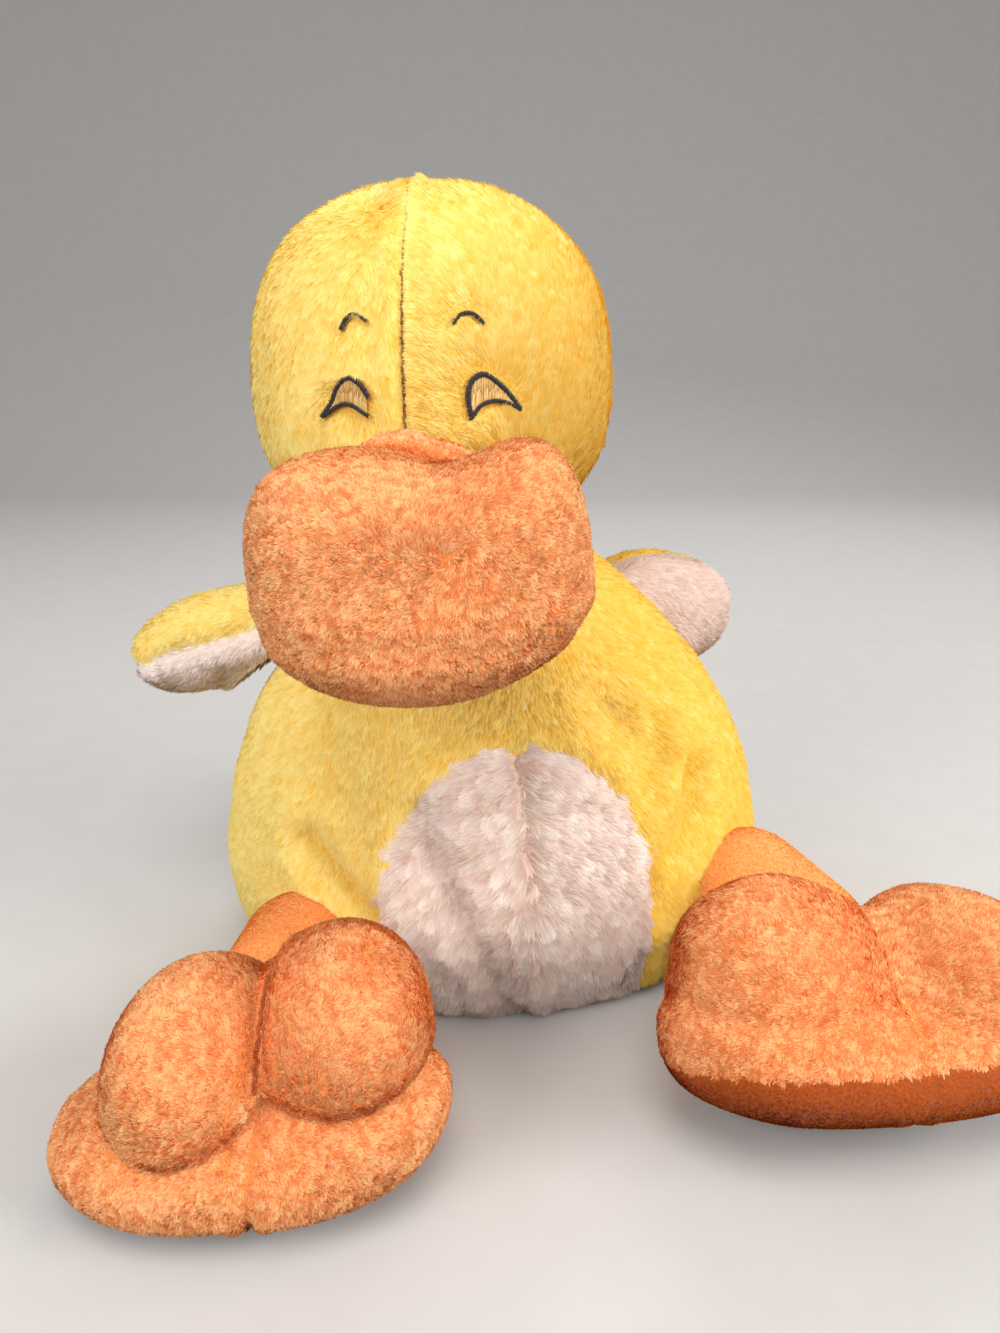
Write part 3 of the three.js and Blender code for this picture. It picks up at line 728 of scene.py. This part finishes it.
def laid_out(name, mesh, material):
    """A mesh as a piece of the scene, in one material."""
    mesh.materials.append(material)
    piece = bpy.data.objects.new(name, mesh)
    bpy.context.collection.objects.link(piece)
    return piece


def mesh_of(name, form):
    mesh = bpy.data.meshes.new(name)
    form.to_mesh(mesh)
    form.free()
    return mesh


def panel_arrays(form, belongs):
    """A panel's corner places, normals and triangles, in one form's numbering."""
    form.verts.ensure_lookup_table()
    places = np.array([v.co[:] for v in form.verts])
    normals = np.array([v.normal[:] for v in form.verts])
    corners = np.array([[v.index for v in f.verts] for f in form.faces if len(f.verts) == 3])
    chosen = belongs(places[corners].mean(1))
    return places, normals, corners[chosen]


def cloth_panel(name, form, belongs, finish):
    """A panel of cloth: its share of the form's skin, given the cloth's thickness inwards."""
    panel = form.copy()
    panel.faces.ensure_lookup_table()
    middles = np.array([f.calc_center_median()[:] for f in panel.faces])
    others = [panel.faces[i] for i in np.flatnonzero(~belongs(middles))]
    bmesh.ops.delete(panel, geom=others, context="FACES")
    bmesh.ops.scale(panel, vec=(MM, MM, MM), verts=panel.verts)
    for triangle in panel.faces:
        triangle.smooth = True
    piece = laid_out(name, mesh_of(name, panel), FINISHES[finish])
    thicken = piece.modifiers.new("thickness", "SOLIDIFY")
    thicken.thickness, thicken.offset = CLOTH_THICK * MM, -1
    return piece


def scatter(patch, density, rng):
    """Places spread evenly over a patch, with the surface's normals there."""
    places, normals, corners = patch
    a, b, c = (places[corners[:, k]] for k in range(3))
    area = np.linalg.norm(np.cross(b - a, c - a), axis=1) / 2
    count = int(area.sum() * density)
    marks = (np.arange(count) + rng.random(count)) / count * area.sum()
    pick = np.minimum(np.searchsorted(np.cumsum(area), marks), len(area) - 1)
    u, v = rng.random(count), rng.random(count)
    over = u + v > 1
    u, v = np.where(over, 1 - u, u)[:, None], np.where(over, 1 - v, v)[:, None]
    shares = np.concatenate([1 - u - v, u, v], 1)[:, :, None]
    tri = corners[pick]
    return (places[tri] * shares).sum(1), unit((normals[tri] * shares).sum(1))


def nearest(places, centres):
    tree = KDTree(len(centres))
    for i, centre in enumerate(centres):
        tree.insert(centre, i)
    tree.balance()
    return np.array([tree.find(place)[1] for place in places])


def tufts(roots, normals, kind, comb, rng, length):
    """Where each tuft bends and ends: it leaves the cloth at its lean, and its second half lies lower."""
    tip_lean = 0.3
    raw = comb(roots)
    flow = unit(raw - normals * along(raw, normals))
    stray = np.radians(rng.normal(0, kind["stray"], len(roots)))[:, None]
    flow = flow * np.cos(stray) + np.cross(normals, flow) * np.sin(stray)
    lean = np.radians(rng.normal(kind["lean"], kind["sway"], len(roots)))[:, None]
    bends = roots + (flow * np.cos(lean) + normals * np.sin(lean)) * length / 2
    bends += np.cross(normals, flow) * rng.normal(0, kind["curl"], (len(roots), 1)) * length
    ends = bends + (flow * np.cos(lean * tip_lean) + normals * np.sin(lean * tip_lean)) * length / 2
    return bends, ends


def pile(name, patch, kind, comb, finish, seed, bare=(), shorter=None):
    """The pile of a panel, as one mesh of flat tufts. bare lists forms that hide the cloth inside them."""
    rng = np.random.default_rng(seed)
    roots, normals = scatter(patch, kind["density"], rng)
    shown = rng.random(len(roots)) < np.interp(roots[:, 1], THINNING_Y, [1, kind["back"]])
    for hides in bare:
        shown &= hides(roots) > -HIDDEN_DEPTH
    roots, normals = roots[shown], normals[shown]
    count = len(roots)
    length = kind["length"] * rng.uniform(0.72, 1.12, (count, 1))
    length *= (1 + 0.12 * waves(roots, 16, seed))[:, None]
    if shorter:
        length *= shorter(roots)[:, None]
    bends, ends = tufts(roots, normals, kind, comb, rng, length)
    locks, lock_normals = scatter(patch, kind["lock"] ** -2, rng)
    lock_bends, lock_ends = tufts(locks, lock_normals, {**kind, "curl": 0}, comb, rng, kind["length"])
    lock = nearest(roots, locks)
    pull = kind["gather"] * rng.uniform(0.4, 1, (count, 1)) * length / kind["length"]
    ends += (lock_ends[lock] - ends) * pull
    bends += (lock_bends[lock] - bends) * pull * 0.35
    for line in (bends, ends):
        line[:, 2] = np.maximum(line[:, 2], FLOOR_GAP)
    tint = 0.5 + rng.normal(0, kind["speckle"], count) + rng.normal(0, kind["speckle"], len(locks))[lock]
    # painted light: tufts are paler on the duck's -X side and deeper on its +X side, as the light falls there
    tint = np.clip(tint - kind["painted_light_side"] * np.tanh(roots[:, 0] / PAINTED_LIGHT_WIDTH), 0, 1)
    way = unit(ends - roots)
    across = unit(np.cross(normals, way)) + normals * rng.normal(0, 0.12, (count, 1))
    across = unit(across) * kind["width"] * rng.uniform(0.75, 1.25, (count, 1))
    across *= rng.choice([-1, 1], (count, 1))
    shade = unit(normals - 0.8 * way * along(normals, way) + 0.3 * across / kind["width"])
    chord = (roots + ends) / 2
    places = np.stack([roots - normals * ROOT_DEPTH, chord + (bends - chord) * TUFT_BOW + across, ends], 1)
    # a tuft seen from its back takes the light wrongly, so few backs face the cloth's outside or the viewer
    view = unit(np.array(VIEWER) - roots)
    front = normals + VIEW_SHARE * view * np.clip(along(normals, view), 0, 1)
    made = tuft_mesh(name, places, shade, front, tint, finish)
    made.visible_shadow = False    # light comes through pile, and the cloth under it casts the shadows
    return made


def tuft_mesh(name, places, shade, front, tint, finish):
    """Three-cornered tufts: the root, the bend and the tip. Each takes light as the cloth it lies on does."""
    bend_up = 0.55
    count = len(places)
    mesh = bpy.data.meshes.new(name)
    facing = np.cross(places[:, 1] - places[:, 0], places[:, 2] - places[:, 0])
    turned_away = along(facing, front)[:, 0] < 0
    order = np.where(turned_away[:, None], [0, 2, 1], [0, 1, 2]) + np.arange(count)[:, None] * 3
    mesh.vertices.add(3 * count)
    mesh.vertices.foreach_set("co", (places * MM).astype(np.float32).ravel())
    mesh.loops.add(3 * count)
    mesh.loops.foreach_set("vertex_index", order.ravel())
    mesh.polygons.add(count)
    mesh.polygons.foreach_set("loop_start", np.arange(count) * 3)
    mesh.polygons.foreach_set("use_smooth", np.ones(count, bool))
    mesh.update(calc_edges=True)
    up = np.array([0, bend_up, 1])
    for title, values in (("up", np.tile(up, count)), ("tint", np.repeat(tint, 3))):
        mesh.attributes.new(title, "FLOAT", "POINT").data.foreach_set("value", values.astype(np.float32))
    light_way = mesh.attributes.new("custom_normal", "FLOAT_VECTOR", "POINT")
    light_way.data.foreach_set("vector", np.repeat(shade, 3, axis=0).astype(np.float32).ravel())
    patches, patch = np.unique(np.round(places[:, 0] / MAP_PATCH), axis=0, return_inverse=True)
    side = math.ceil(math.sqrt(len(patches)))
    cell = np.stack([patch.ravel() % side, patch.ravel() // side], 1)[:, None]
    across = MAP_MARGIN + (1 - 2 * MAP_MARGIN - MAP_SLANT) * tint[:, None] + [0, MAP_SLANT, 0]
    upward = np.tile(MAP_MARGIN + (1 - 2 * MAP_MARGIN) * up, (count, 1))
    spots = ((cell + np.stack([across, upward], 2)) / side).reshape(-1, 2)
    layer = mesh.uv_layers.new(name="OFBake")
    layer.data.foreach_set("uv", spots[order.ravel()].astype(np.float32).ravel())
    return laid_out(name, mesh, FINISHES[finish])


def sew(name, form, belongs, body, cloth, kind, comb, nodes, seed, bare=(), shorter=None):
    """One panel, its backing and its pile, in place of its CAD nodes."""
    slot, backing, finish = CLOTHS[cloth]
    panel = cloth_panel(name + "_cloth", form, belongs, backing)
    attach(panel, body)
    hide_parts(*nodes)
    hair = pile(name + "_pile", panel_arrays(form, belongs), kind, comb, finish, seed, bare, shorter)
    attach(hair, body)


# Body

body_shape = body_form(0)
body_skin = body_form(PLUSH_DEPTH)
head_skin = head_form(PLUSH_DEPTH)
bill_skin = bill_form(TERRY_DEPTH)


def belly_seam_x(p):
    x, z = np.transpose(BELLY_SEAM)
    return np.interp(p[:, 2], z, x)


def belly_share(p):
    """Under 1 inside the patch's outline, and far over it on the back."""
    far = 9
    q = (p[:, [0, 2]] - BELLY_MIDDLE) / BELLY_HALF
    q[:, 1] *= np.where(q[:, 1] < 0, BELLY_SQUASH, 1)
    return np.where(p[:, 1] < 0, np.hypot(q[:, 0], q[:, 1]), far)


def is_seat(p):
    return p[:, 2] < SEAT_EDGE_Z


def is_belly(p):
    return (belly_share(p) < 1) & ~is_seat(p)


def body_sides(p):
    return ~is_belly(p) & ~is_seat(p)


def rim_distance(p):
    return (belly_share(p) - 1) * np.mean(BELLY_HALF)


body = drawn_out(body_skin, BODY_MIDDLE, 6, [
    lumps(0.9, 60, 3),
    lumps(0.45, 24, 4),
    *creases(BODY_CREASES),
    seam(1.6, 2.6, rim_distance, lambda p: p[:, 1] < 0),
    seam(0.9, 2, lambda p: p[:, 0] - belly_seam_x(p), lambda p: belly_share(p) < 1),
    seam(1.8, 2.6, lambda p: p[:, 0] - BODY_SEAM_X, lambda p: p[:, 1] > 0),
    seam(1.2, 2, lambda p: p[:, 2] - SEAT_EDGE_Z),
])


def comb_side(p):
    outward = np.tanh((p[:, 0] - BODY["foot"][0]) / 25)
    swirl = 0.8 * waves(p, 60, 11)
    return np.stack([outward * 0.5 + swirl, 0.35 + 0 * swirl, -1 + 0 * swirl], 1)


def comb_belly(p):
    away = p[:, 0] - belly_seam_x(p)
    across = np.sign(away) * (0.35 + 0.9 * np.clip((p[:, 2] - 20) / 80, 0, 1))
    return np.stack([across + 0.5 * waves(p, 34, 12), 0 * away, -0.35 - 1.0 * swell(p[:, 2] - 5, 55)], 1)


def comb_out(p):
    return p - [BODY["foot"][0], 0, 0]


leg_skins = {side: leg_form(foot, NAP_DEPTH) for side, foot in FEET.items()}
round_body = [head_skin, *leg_skins.values()]
under_plush = body_form(PLUSH_DEPTH + 1)    # hides what is sewn into the body's sides

for side, is_left in (("left", True), ("right", False)):
    nodes = [f"body_{side}", "body_stuffing"] if is_left else [f"body_{side}"]
    sew(
        f"body_{side}", body, lambda p: body_sides(p) & ((p[:, 0] < BODY_SEAM_X) == is_left), "body",
        "yellow plush", PLUSH, comb_side, nodes, 20 + is_left, round_body)
    sew(
        f"belly_{side}", body, lambda p: is_belly(p) & ((p[:, 0] < belly_seam_x(p)) == is_left), "body",
        "white plush", FLEECE, comb_belly, [f"belly_{side}"], 30 + is_left, round_body)
sew(
    "seat", body, is_seat, "body", "white plush", SEAT_PILE, comb_out, ["seat_panel", "bean_pouch"], 40,
    leg_skins.values())


# Head

def eye_ring(eye):
    """The outline of one eye's embroidery, closed."""
    over, under = smooth_line(eye["over"], 0.5), smooth_line(eye["under"], 0.5)
    return np.vstack([over, under[::-1]])


eye_middles = [np.mean(eye_ring(eye), axis=0) for eye in EYES.values()]


def is_face(p):
    return p[:, 1] < CROWN_SEAM_Y


def face_dents(p):
    """The cloth pressed in under the embroidered eyes and brows."""
    pressed = sum(swell(np.hypot(p[:, 0] - x, (p[:, 2] - z) * 1.3), 9) for x, z in eye_middles)
    lines = [smooth_line(line, 1.5) for line in BROWS.values()]
    browed = sum(swell(to_line(p[:, [0, 2]], line), 3) for line in lines)
    return -(1.3 * pressed + 0.8 * browed) * is_face(p)


def face_ridge(p):
    """The right half of the face stands a little proud beside its seam, and less so near the crown."""
    beside = p[:, 0] - FACE_SEAM_X
    below_crown = np.clip((CROWN_SEAM_Y - p[:, 1]) / 14, 0, 1)
    return 1.2 * swell(beside - 4, 4) * (beside > 0) * below_crown


head = drawn_out(head_skin, HEAD_MIDDLE, 6, [
    lumps(0.8, 50, 5),
    seam(3.2, 1.9, lambda p: p[:, 0] - FACE_SEAM_X, is_face),
    face_ridge,
    seam(1.8, 2.4, lambda p: p[:, 1] - CROWN_SEAM_Y, lambda p: p[:, 2] > CROWN_SEAM_LOW_Z),
    face_dents,
])


def comb_head(p):
    """Down on the left half of the face, up and over its seam on the right, and forward over the crown."""
    away, front = p[:, 0] - FACE_SEAM_X, is_face(p)
    left_half = 0.3 * swell(away, 12) + 0.5 * np.tanh(away / 40)
    across = np.where(away > 0, -1.7 * swell(away, 24) - 0.1, left_half)
    over_the_top = 2.2 * swell(p[:, 2] - HEAD_TOP_Z, 14) * front
    rise = np.where((away > 0) & front, 0.35 + 0.65 * np.clip(away / 30, 0, 1), over_the_top - 1)
    made = np.stack([across * front, np.where(front, 0, 0.5), rise], 1)
    made[:, 1] -= 3 * swell(p[:, 1] - CROWN_SEAM_Y, 11) * ~front
    for middle in eye_middles:
        off = p[:, [0, 2]] - middle
        made[:, [0, 2]] += 1.6 * unit(off) * (swell(np.linalg.norm(off, axis=1), 10) * front)[:, None]
    made[:, 0] += 0.35 * waves(p, 26, 13)
    return made


def off_the_stitches(roots):
    """Head pile is short beside the embroidery and the two seams, and almost gone under the eyes."""
    under_stitches = 0.02
    flat = roots[:, [0, 2]]
    share = np.ones(len(roots))
    for eye in EYES.values():
        ring = eye_ring(eye)
        gap = to_line(flat, np.vstack([ring, ring[:1]]))
        share = np.minimum(share, trimmed(gap, 0.6, 0.06))
        share = np.where(within(flat, ring), under_stitches, share)
    for brow in BROWS.values():
        share = np.minimum(share, trimmed(to_line(flat, smooth_line(brow, 1)), 0.5, 0.05))
    beside = FACE_SEAM_X - roots[:, 0]
    share = np.minimum(share, trimmed(np.where(beside > 0, beside, -0.8 * beside), 0.5, 0.08))
    crown = trimmed(np.abs(roots[:, 1] - CROWN_SEAM_Y), 0.5, 0.1, 4)
    return np.where(is_face(roots), share, 1) * np.where(roots[:, 2] > CROWN_SEAM_LOW_Z, crown, 1)


head_panels = {
    "head_left": lambda p: is_face(p) & (p[:, 0] < FACE_SEAM_X),
    "head_right": lambda p: is_face(p) & (p[:, 0] >= FACE_SEAM_X),
    "head_back": lambda p: ~is_face(p),
}
for number, (name, belongs) in enumerate(head_panels.items()):
    nodes = [name, "head_stuffing"] if name == "head_back" else [name]
    sew(
        name, head, belongs, "head", "yellow plush", HEAD_PILE, comb_head, nodes, 50 + number,
        [bill_skin, body_form(PLUSH_DEPTH + 2)], off_the_stitches)


# Bill

bill = drawn_out(bill_skin, BILL["middle"], 5, [
    lumps(0.8, 40, 6),
    seam(0.8, 2.4, lambda p: p[:, 2] - BILL_SEAM_Z),
])


def comb_bill(p):
    off = p - BILL["middle"]
    return off * [0.5, 0, 0.7] + np.stack([9 * waves(p, 26, 14), 0 * off[:, 0], -4 + 9 * waves(p, 30, 15)], 1)


under_face = head_form(PLUSH_DEPTH + 1)    # hides what is sewn to the face
sew(
    "bill_upper", bill, lambda p: p[:, 2] >= BILL_SEAM_Z, "head", "terry", BILL_PILE, comb_bill,
    ["bill_upper", "bill_stuffing"], 60, [under_face])
sew(
    "bill_under", bill, lambda p: p[:, 2] < BILL_SEAM_Z, "head", "terry", BILL_PILE, comb_bill,
    ["bill_under"], 61, [under_face])

ridges = [placed(cushion(size, inset=FOLD_INSET), at, turn("y", tilt)) for size, at, tilt in FOLD_RIDGES]
fold = drawn_out(merged(*ridges, 0.8), FOLD_MIDDLE, 5, [*creases(FOLD_CREASES), lumps(0.6, 6, 7)])
sew(
    "bill_fold", fold, whole_form, "head", "fold cloth", FOLD_PILE, comb_bill, ["bill_fold"], 65,
    [under_face, bill_form(TERRY_DEPTH + 1)])


# Wings

def make_wing(number, side, wing):
    flip = np.diag([wing["side"], 1, 1]) @ wing_turn(wing)
    at = np.array(wing["at"], float)
    middle = at + flip @ [WING["length"] / 2, 0, 0]
    comb = comb_along(flip @ [1, 0, 0] + [0, 0, -0.3], 26, (71, 72, 73), 0.4)

    def own_z(p):
        return (p - at) @ flip[:, 2]

    pad = drawn_out(
        wing_form(wing, WING_DEPTH), middle, 5, [lumps(0.7, 34, 70 + number), seam(1.5, 2.4, own_z)],
        swept_clear(wing, body_shape))
    for part, cloth, seed, belongs in (
        ("top", "yellow plush", 83, lambda p: own_z(p) > 0),
        ("underside", "white plush", 89, lambda p: own_z(p) <= 0),
    ):
        name = f"wing_{side}_{part}"
        sew(
            name, pad, belongs, f"wing_{side}", cloth, WING_PILE, comb, [name], seed + 4 * number,
            [under_plush])


for number, (side, wing) in enumerate(WINGS.items()):
    make_wing(number, side, wing)

tail_pad = cushion(TAIL["size"], inset=PLUSH_DEPTH, shaped=tail_untapered)
tail = drawn_out(
    placed(tail_pad, TAIL["middle"], turn("x", TAIL["tilt"])), TAIL["middle"], 4, [lumps(0.5, 20, 75)])
sew(
    "tail", tail, whole_form, "body", "yellow plush", PLUSH, lambda p: np.tile([0, 0.7, 0.6], (len(p), 1)),
    ["tail"], 76, [under_plush])


# Legs and feet

def make_leg(number, side, foot):
    hip, ankle = np.array(foot["hip"], float), np.array(foot["ankle"], float)
    leg = drawn_out(leg_skins[side], (hip + ankle) / 2, 4, [lumps(0.5, 26, 90 + number)])
    sew(
        f"leg_{side}_tube", leg, whole_form, f"leg_{side}", "leg cloth", NAP,
        comb_along(ankle - hip, 12, (91, 92, 93), 12), [f"leg_{side}_cloth", f"leg_{side}_stuffing"],
        94 + number, [body_form(PLUSH_DEPTH + 2), foot_form(foot, TERRY_DEPTH + 1)])


def make_foot(number, side, foot):
    """A foot's three panels. Returns its form, a place inside it and its ways ahead and up."""
    at, by = foot_frame(foot)
    between = np.mean([lobe_middle(foot, s)[0] for s in (-1, 1)])
    low = sole_middle(foot)[2]
    toes, pad = toes_form(foot, TERRY_DEPTH), sole_form(foot, TERRY_DEPTH)
    inside = at + by @ [between, -LOBE["ahead"], low + 16]

    def own(p):
        return (p - at) @ by

    def from_cleft(p):
        return own(p)[:, 0] - between

    def in_toes(p):
        return toes(p) < pad(p)

    def under(p):
        return ~in_toes(p) & (own(p)[:, 2] < low - foot["underside"])

    def comb(p):
        outward = (own(p) - [between, -LOBE["ahead"], low + 12]) * [0.5, 0.2, 0.7] @ by.T
        return comb_along(outward, 26, (106, 107, 108), 9)(p)

    def beside_cleft(p):
        return trimmed(np.abs(from_cleft(p)), 0, 0.3, 2.5)

    whole = drawn_out(foot_form(foot, TERRY_DEPTH), inside, 6, [
        lumps(0.8, 34, 100 + number),
        seam(foot["seam"], 1.6, from_cleft, lambda p: own(p)[:, 1] < -20),
        seam(foot["seam"], 2.4, lambda p: toes(p) - pad(p), lambda p: own(p)[:, 1] < 0),
    ])
    rides_on, in_leg = f"foot_{side}", [leg_form(foot, NAP_DEPTH + 1)]
    shorter = beside_cleft if foot["stitched"] else None
    sew(
        f"foot_{side}_toes", whole, in_toes, rides_on, "terry", TERRY, comb,
        [f"foot_{side}_top", f"foot_{side}_stuffing"], 110 + number, in_leg, shorter)
    sew(
        f"foot_{side}_rim", whole, lambda p: ~in_toes(p) & ~under(p), rides_on, "terry", RIM_PILE, comb,
        [f"foot_{side}_sole"], 114 + number, in_leg, shorter)
    sew(
        f"foot_{side}_underside", whole, under, rides_on, "sole cloth", NAP, comb, [f"foot_{side}_sole"],
        118 + number, in_leg)
    return whole, (inside, by @ [0, -1, 0], by @ [0, 0, 1])


made_feet = {}
for number, (side, foot) in enumerate(FEET.items()):
    make_leg(number, side, foot)
    made_feet[side] = make_foot(number, side, foot)


# Stitches

def stitches(name, rows, rng, rest, rise, finish, body):
    """Threads laid on the cloth: each row is the places and the cloth's normals along one stitch."""
    sides, thin_end = 4, 0.35
    spin = 2 * np.pi / sides
    tint = rng.random(len(rows))
    made = bmesh.new()
    layer = made.verts.layers.float.new("tint")
    for (centre, normal), share in zip(rows, tint):
        arch = np.sin(np.linspace(0, np.pi, len(centre)))[:, None]
        centre = centre + normal * (rest + rise * arch)
        out = unit(np.cross(unit(np.gradient(centre, axis=0)), normal))
        thread = []
        for k in range(sides):
            spoke = out * math.cos(spin * k) + normal * math.sin(spin * k)
            line = centre + spoke * THREAD * np.clip(arch * 2, thin_end, 1)
            thread.append([made.verts.new(place * MM) for place in line])
            for v in thread[-1]:
                v[layer] = share
        for here, there in zip(thread, thread[1:] + thread[:1]):
            for i in range(len(here) - 1):
                made.faces.new((here[i], there[i], there[i + 1], here[i + 1])).smooth = True
        made.faces.new([line[0] for line in thread])
        made.faces.new([line[-1] for line in thread[::-1]])
    bmesh.ops.recalc_face_normals(made, faces=made.faces)
    piece = laid_out(name, mesh_of(name, made), FINISHES[finish])
    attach(piece, body)
    return piece


def seam_rows(form, start, low, high, rng):
    """Stitches along a seam. start is a place inside the form, the way ahead and the way up, and the seam is
    found as the way ahead tips up from low to high (degrees)."""
    inside, ahead, upward = start
    points, gap, turn_step = 6, 5, 0.6
    tree = BVHTree.FromBMesh(form)
    angles = np.radians(np.arange(low, high, turn_step))
    ways = [ahead * math.cos(a) + upward * math.sin(a) for a in angles]
    found = [tree.ray_cast(Vector(inside), Vector(way)) for way in ways]
    places, normals = (np.array([hit[k] for hit in found]) for k in (0, 1))
    aside = np.cross(ahead, upward)
    rows = []
    for shift in SEAM_SHIFTS:
        for k in range(rng.integers(0, gap - 1), len(places) - points, gap):
            beside = aside * (shift + rng.normal(0, 0.08))
            rows.append((places[k:k + points] + beside, normals[k:k + points]))
    return rows


# Embroidered face

face = BVHTree.FromBMesh(head)


def on_face(row):
    """The places on the face's cloth straight behind the points of a drawing, and its normals."""
    found = [face.ray_cast(Vector((x, DRAWING_Y, z)), Vector((0, 1, 0))) for x, z in row]
    return np.array([hit[0] for hit in found]), np.array([hit[1] for hit in found])


def satin_rows(line, width, rng):
    """Short slanting stitches across a line, in two layers."""
    path = smooth_line(line, STITCH_STEP)
    way = unit(np.gradient(path, axis=0))
    out = np.stack([way[:, 1], -way[:, 0]], 1)
    spread = np.linspace(-1, 1, STITCH_POINTS)[:, None]
    rows = []
    for point, forward, across in [*zip(path, way, out)] * 2:
        half = width / 2 * rng.uniform(0.88, 1.12)
        slant = forward * (0.18 + rng.normal(0, 0.12))
        rows.append(point + spread * half * (across + slant) + rng.normal(0, 0.06, 2))
    return rows


def filling_rows(eye, rng):
    """Upright stitches that fill an eye between its two lines, each column in two lengths that overlap."""
    margin, overlap, least = 0.8, 0.4, 1
    over, under = smooth_line(eye["over"], 0.2), smooth_line(eye["under"], 0.2)
    order = np.argsort(under[:, 0])
    rows = []
    for x in np.arange(over[:, 0].min() + margin, over[:, 0].max() - margin, STITCH_STEP):
        crossing = over[np.abs(over[:, 0] - x) < 0.25]
        low = np.interp(x, under[order, 0], under[order, 1])
        high = crossing[:, 1].max() if len(crossing) else low
        if high - low < least:
            continue
        cut = low + (high - low) * rng.uniform(0.35, 0.65)
        for a, b in ((low, cut + overlap), (cut - overlap, high)):
            lean = np.linspace(0, rng.normal(0.15, 0.1), STITCH_POINTS)
            rows.append(np.stack([x + lean, np.linspace(a, b, STITCH_POINTS)], 1))
    return rows


def embroider(name, rows, rng, rise, finish):
    return stitches(name, [on_face(row) for row in rows], rng, EYE_REST, rise, finish, "head")


for number, (side, eye) in enumerate(EYES.items()):
    rng = np.random.default_rng(130 + number)
    outline = satin_rows(eye["over"], LINE_WIDTH, rng) + satin_rows(eye["under"], UNDER_WIDTH, rng)
    lines = embroider(f"eye_{side}_outline", outline, rng, 0.75, "dark thread")
    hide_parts(f"eye_{side}")
    embroider(f"eye_{side}_filling", filling_rows(eye, rng), rng, 0.25, "gold thread")
    brow = satin_rows(BROWS[side], BROW_WIDTH, rng)
    marks = embroider(f"brow_{side}_stitching", brow, rng, 0.7, "dark thread")
    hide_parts(f"brow_{side}")

rng = np.random.default_rng(140)
upright = np.array([0, 0, 1])
face_start = np.array([FACE_SEAM_X - 0.5, *HEAD_MIDDLE[1:]]), np.array([0, -1, 0]), upright
crown_start = np.array([HEAD_MIDDLE[0], CROWN_SEAM_Y, HEAD_MIDDLE[2]]), np.array([1, 0, 0]), upright
whole, foot_start = made_feet["left"]
for name, form, start, low, high, finish, rides_on in (
    ("face", head, face_start, -14, 82, "brown thread", "head"),
    ("crown", head, crown_start, 8, 172, "brown thread", "head"),
    ("foot_left", whole, foot_start, 14, 88, "red thread", "foot_left"),
):
    rows = seam_rows(form, start, low, high, rng)
    stitches(name + "_seam_stitching", rows, rng, SEAM_REST, SEAM_RISE, finish, rides_on)


# Camera, light and table. These are in metres.

camera = bpy.data.objects.new("camera", bpy.data.cameras.new("camera"))
bpy.context.collection.objects.link(camera)
camera.location = np.array(VIEWER) * MM
camera.rotation_euler = (math.radians(VIEWER_TILT), 0, 0)
camera.data.lens = FOCAL_LENGTH
camera.data.sensor_width = PICTURE_SIDE
camera.data.clip_start = 0.01
bpy.context.scene.camera = camera


def lamp(name, place, watts, colour, aim=(0, 0, 0.12)):
    data = bpy.data.lights.new(name, "AREA")
    data.shape, data.size, data.energy, data.color = "DISK", LAMP_SIZE, watts, colour
    light = bpy.data.objects.new(name, data)
    bpy.context.collection.objects.link(light)
    light.location = place
    light.rotation_euler = (Vector(aim) - Vector(place)).to_track_quat("-Z", "Y").to_euler()


lamp("left_light", (-0.9, -1.0, 0.8), 9, (1, 0.99, 0.97))
lamp("right_light", (1.2, -0.6, 0.65), 13, (1, 0.98, 0.95))
lamp("ceiling_light", (0.0, -0.7, 1.35), 8, (1, 0.99, 0.97), (0, 0, 0.1))
lamp("back_light", (0.3, 1.1, 1.15), 6, (1, 0.99, 0.97))

world = bpy.data.worlds.new("room")
world.use_nodes = True
bpy.context.scene.world = world
room = world.node_tree.nodes["Background"]
room.inputs["Color"].default_value = (1, 1, 1, 1)
room.inputs["Strength"].default_value = ROOM_LIGHT

# The table's paper turns up behind the duck in a wide bend, as a studio sweep does
sweep = bmesh.new()
bmesh.ops.create_grid(sweep, x_segments=1, y_segments=1, size=TABLE_HALF)
back = [e for e in sweep.edges if all(v.co.y > 0 for v in e.verts)]
raised = bmesh.ops.extrude_edge_only(sweep, edges=back)["geom"]
top = [g for g in raised if isinstance(g, bmesh.types.BMVert)]
bmesh.ops.translate(sweep, verts=top, vec=(0, 0, WALL_HEIGHT))
fold_line = [e for e in sweep.edges if len(e.link_faces) == 2]
bmesh.ops.bevel(
    sweep, geom=fold_line, affect="EDGES", offset=BEND_SIZE, segments=24, profile=0.5, material=-1)
for sheet in sweep.faces:
    sheet.smooth = True
pale = Finish("pale_paper", Roughness=0.85, Specular_IOR_Level=0.2)
fibres = pale.mix(pale.noise(40, 3), *map(paint, PAPER))
camera_ray = pale.node("ShaderNodeLightPath", output="Is Camera Ray")
glossy_ray = pale.node("ShaderNodeLightPath", output="Is Glossy Ray")
pale.feed("Base Color", pale.mix(camera_ray + glossy_ray, paint(PAPER_BOUNCE), fibres))
table = laid_out("table", mesh_of("table", sweep), pale.material)

bpy.context.scene.view_settings.view_transform = "Standard"
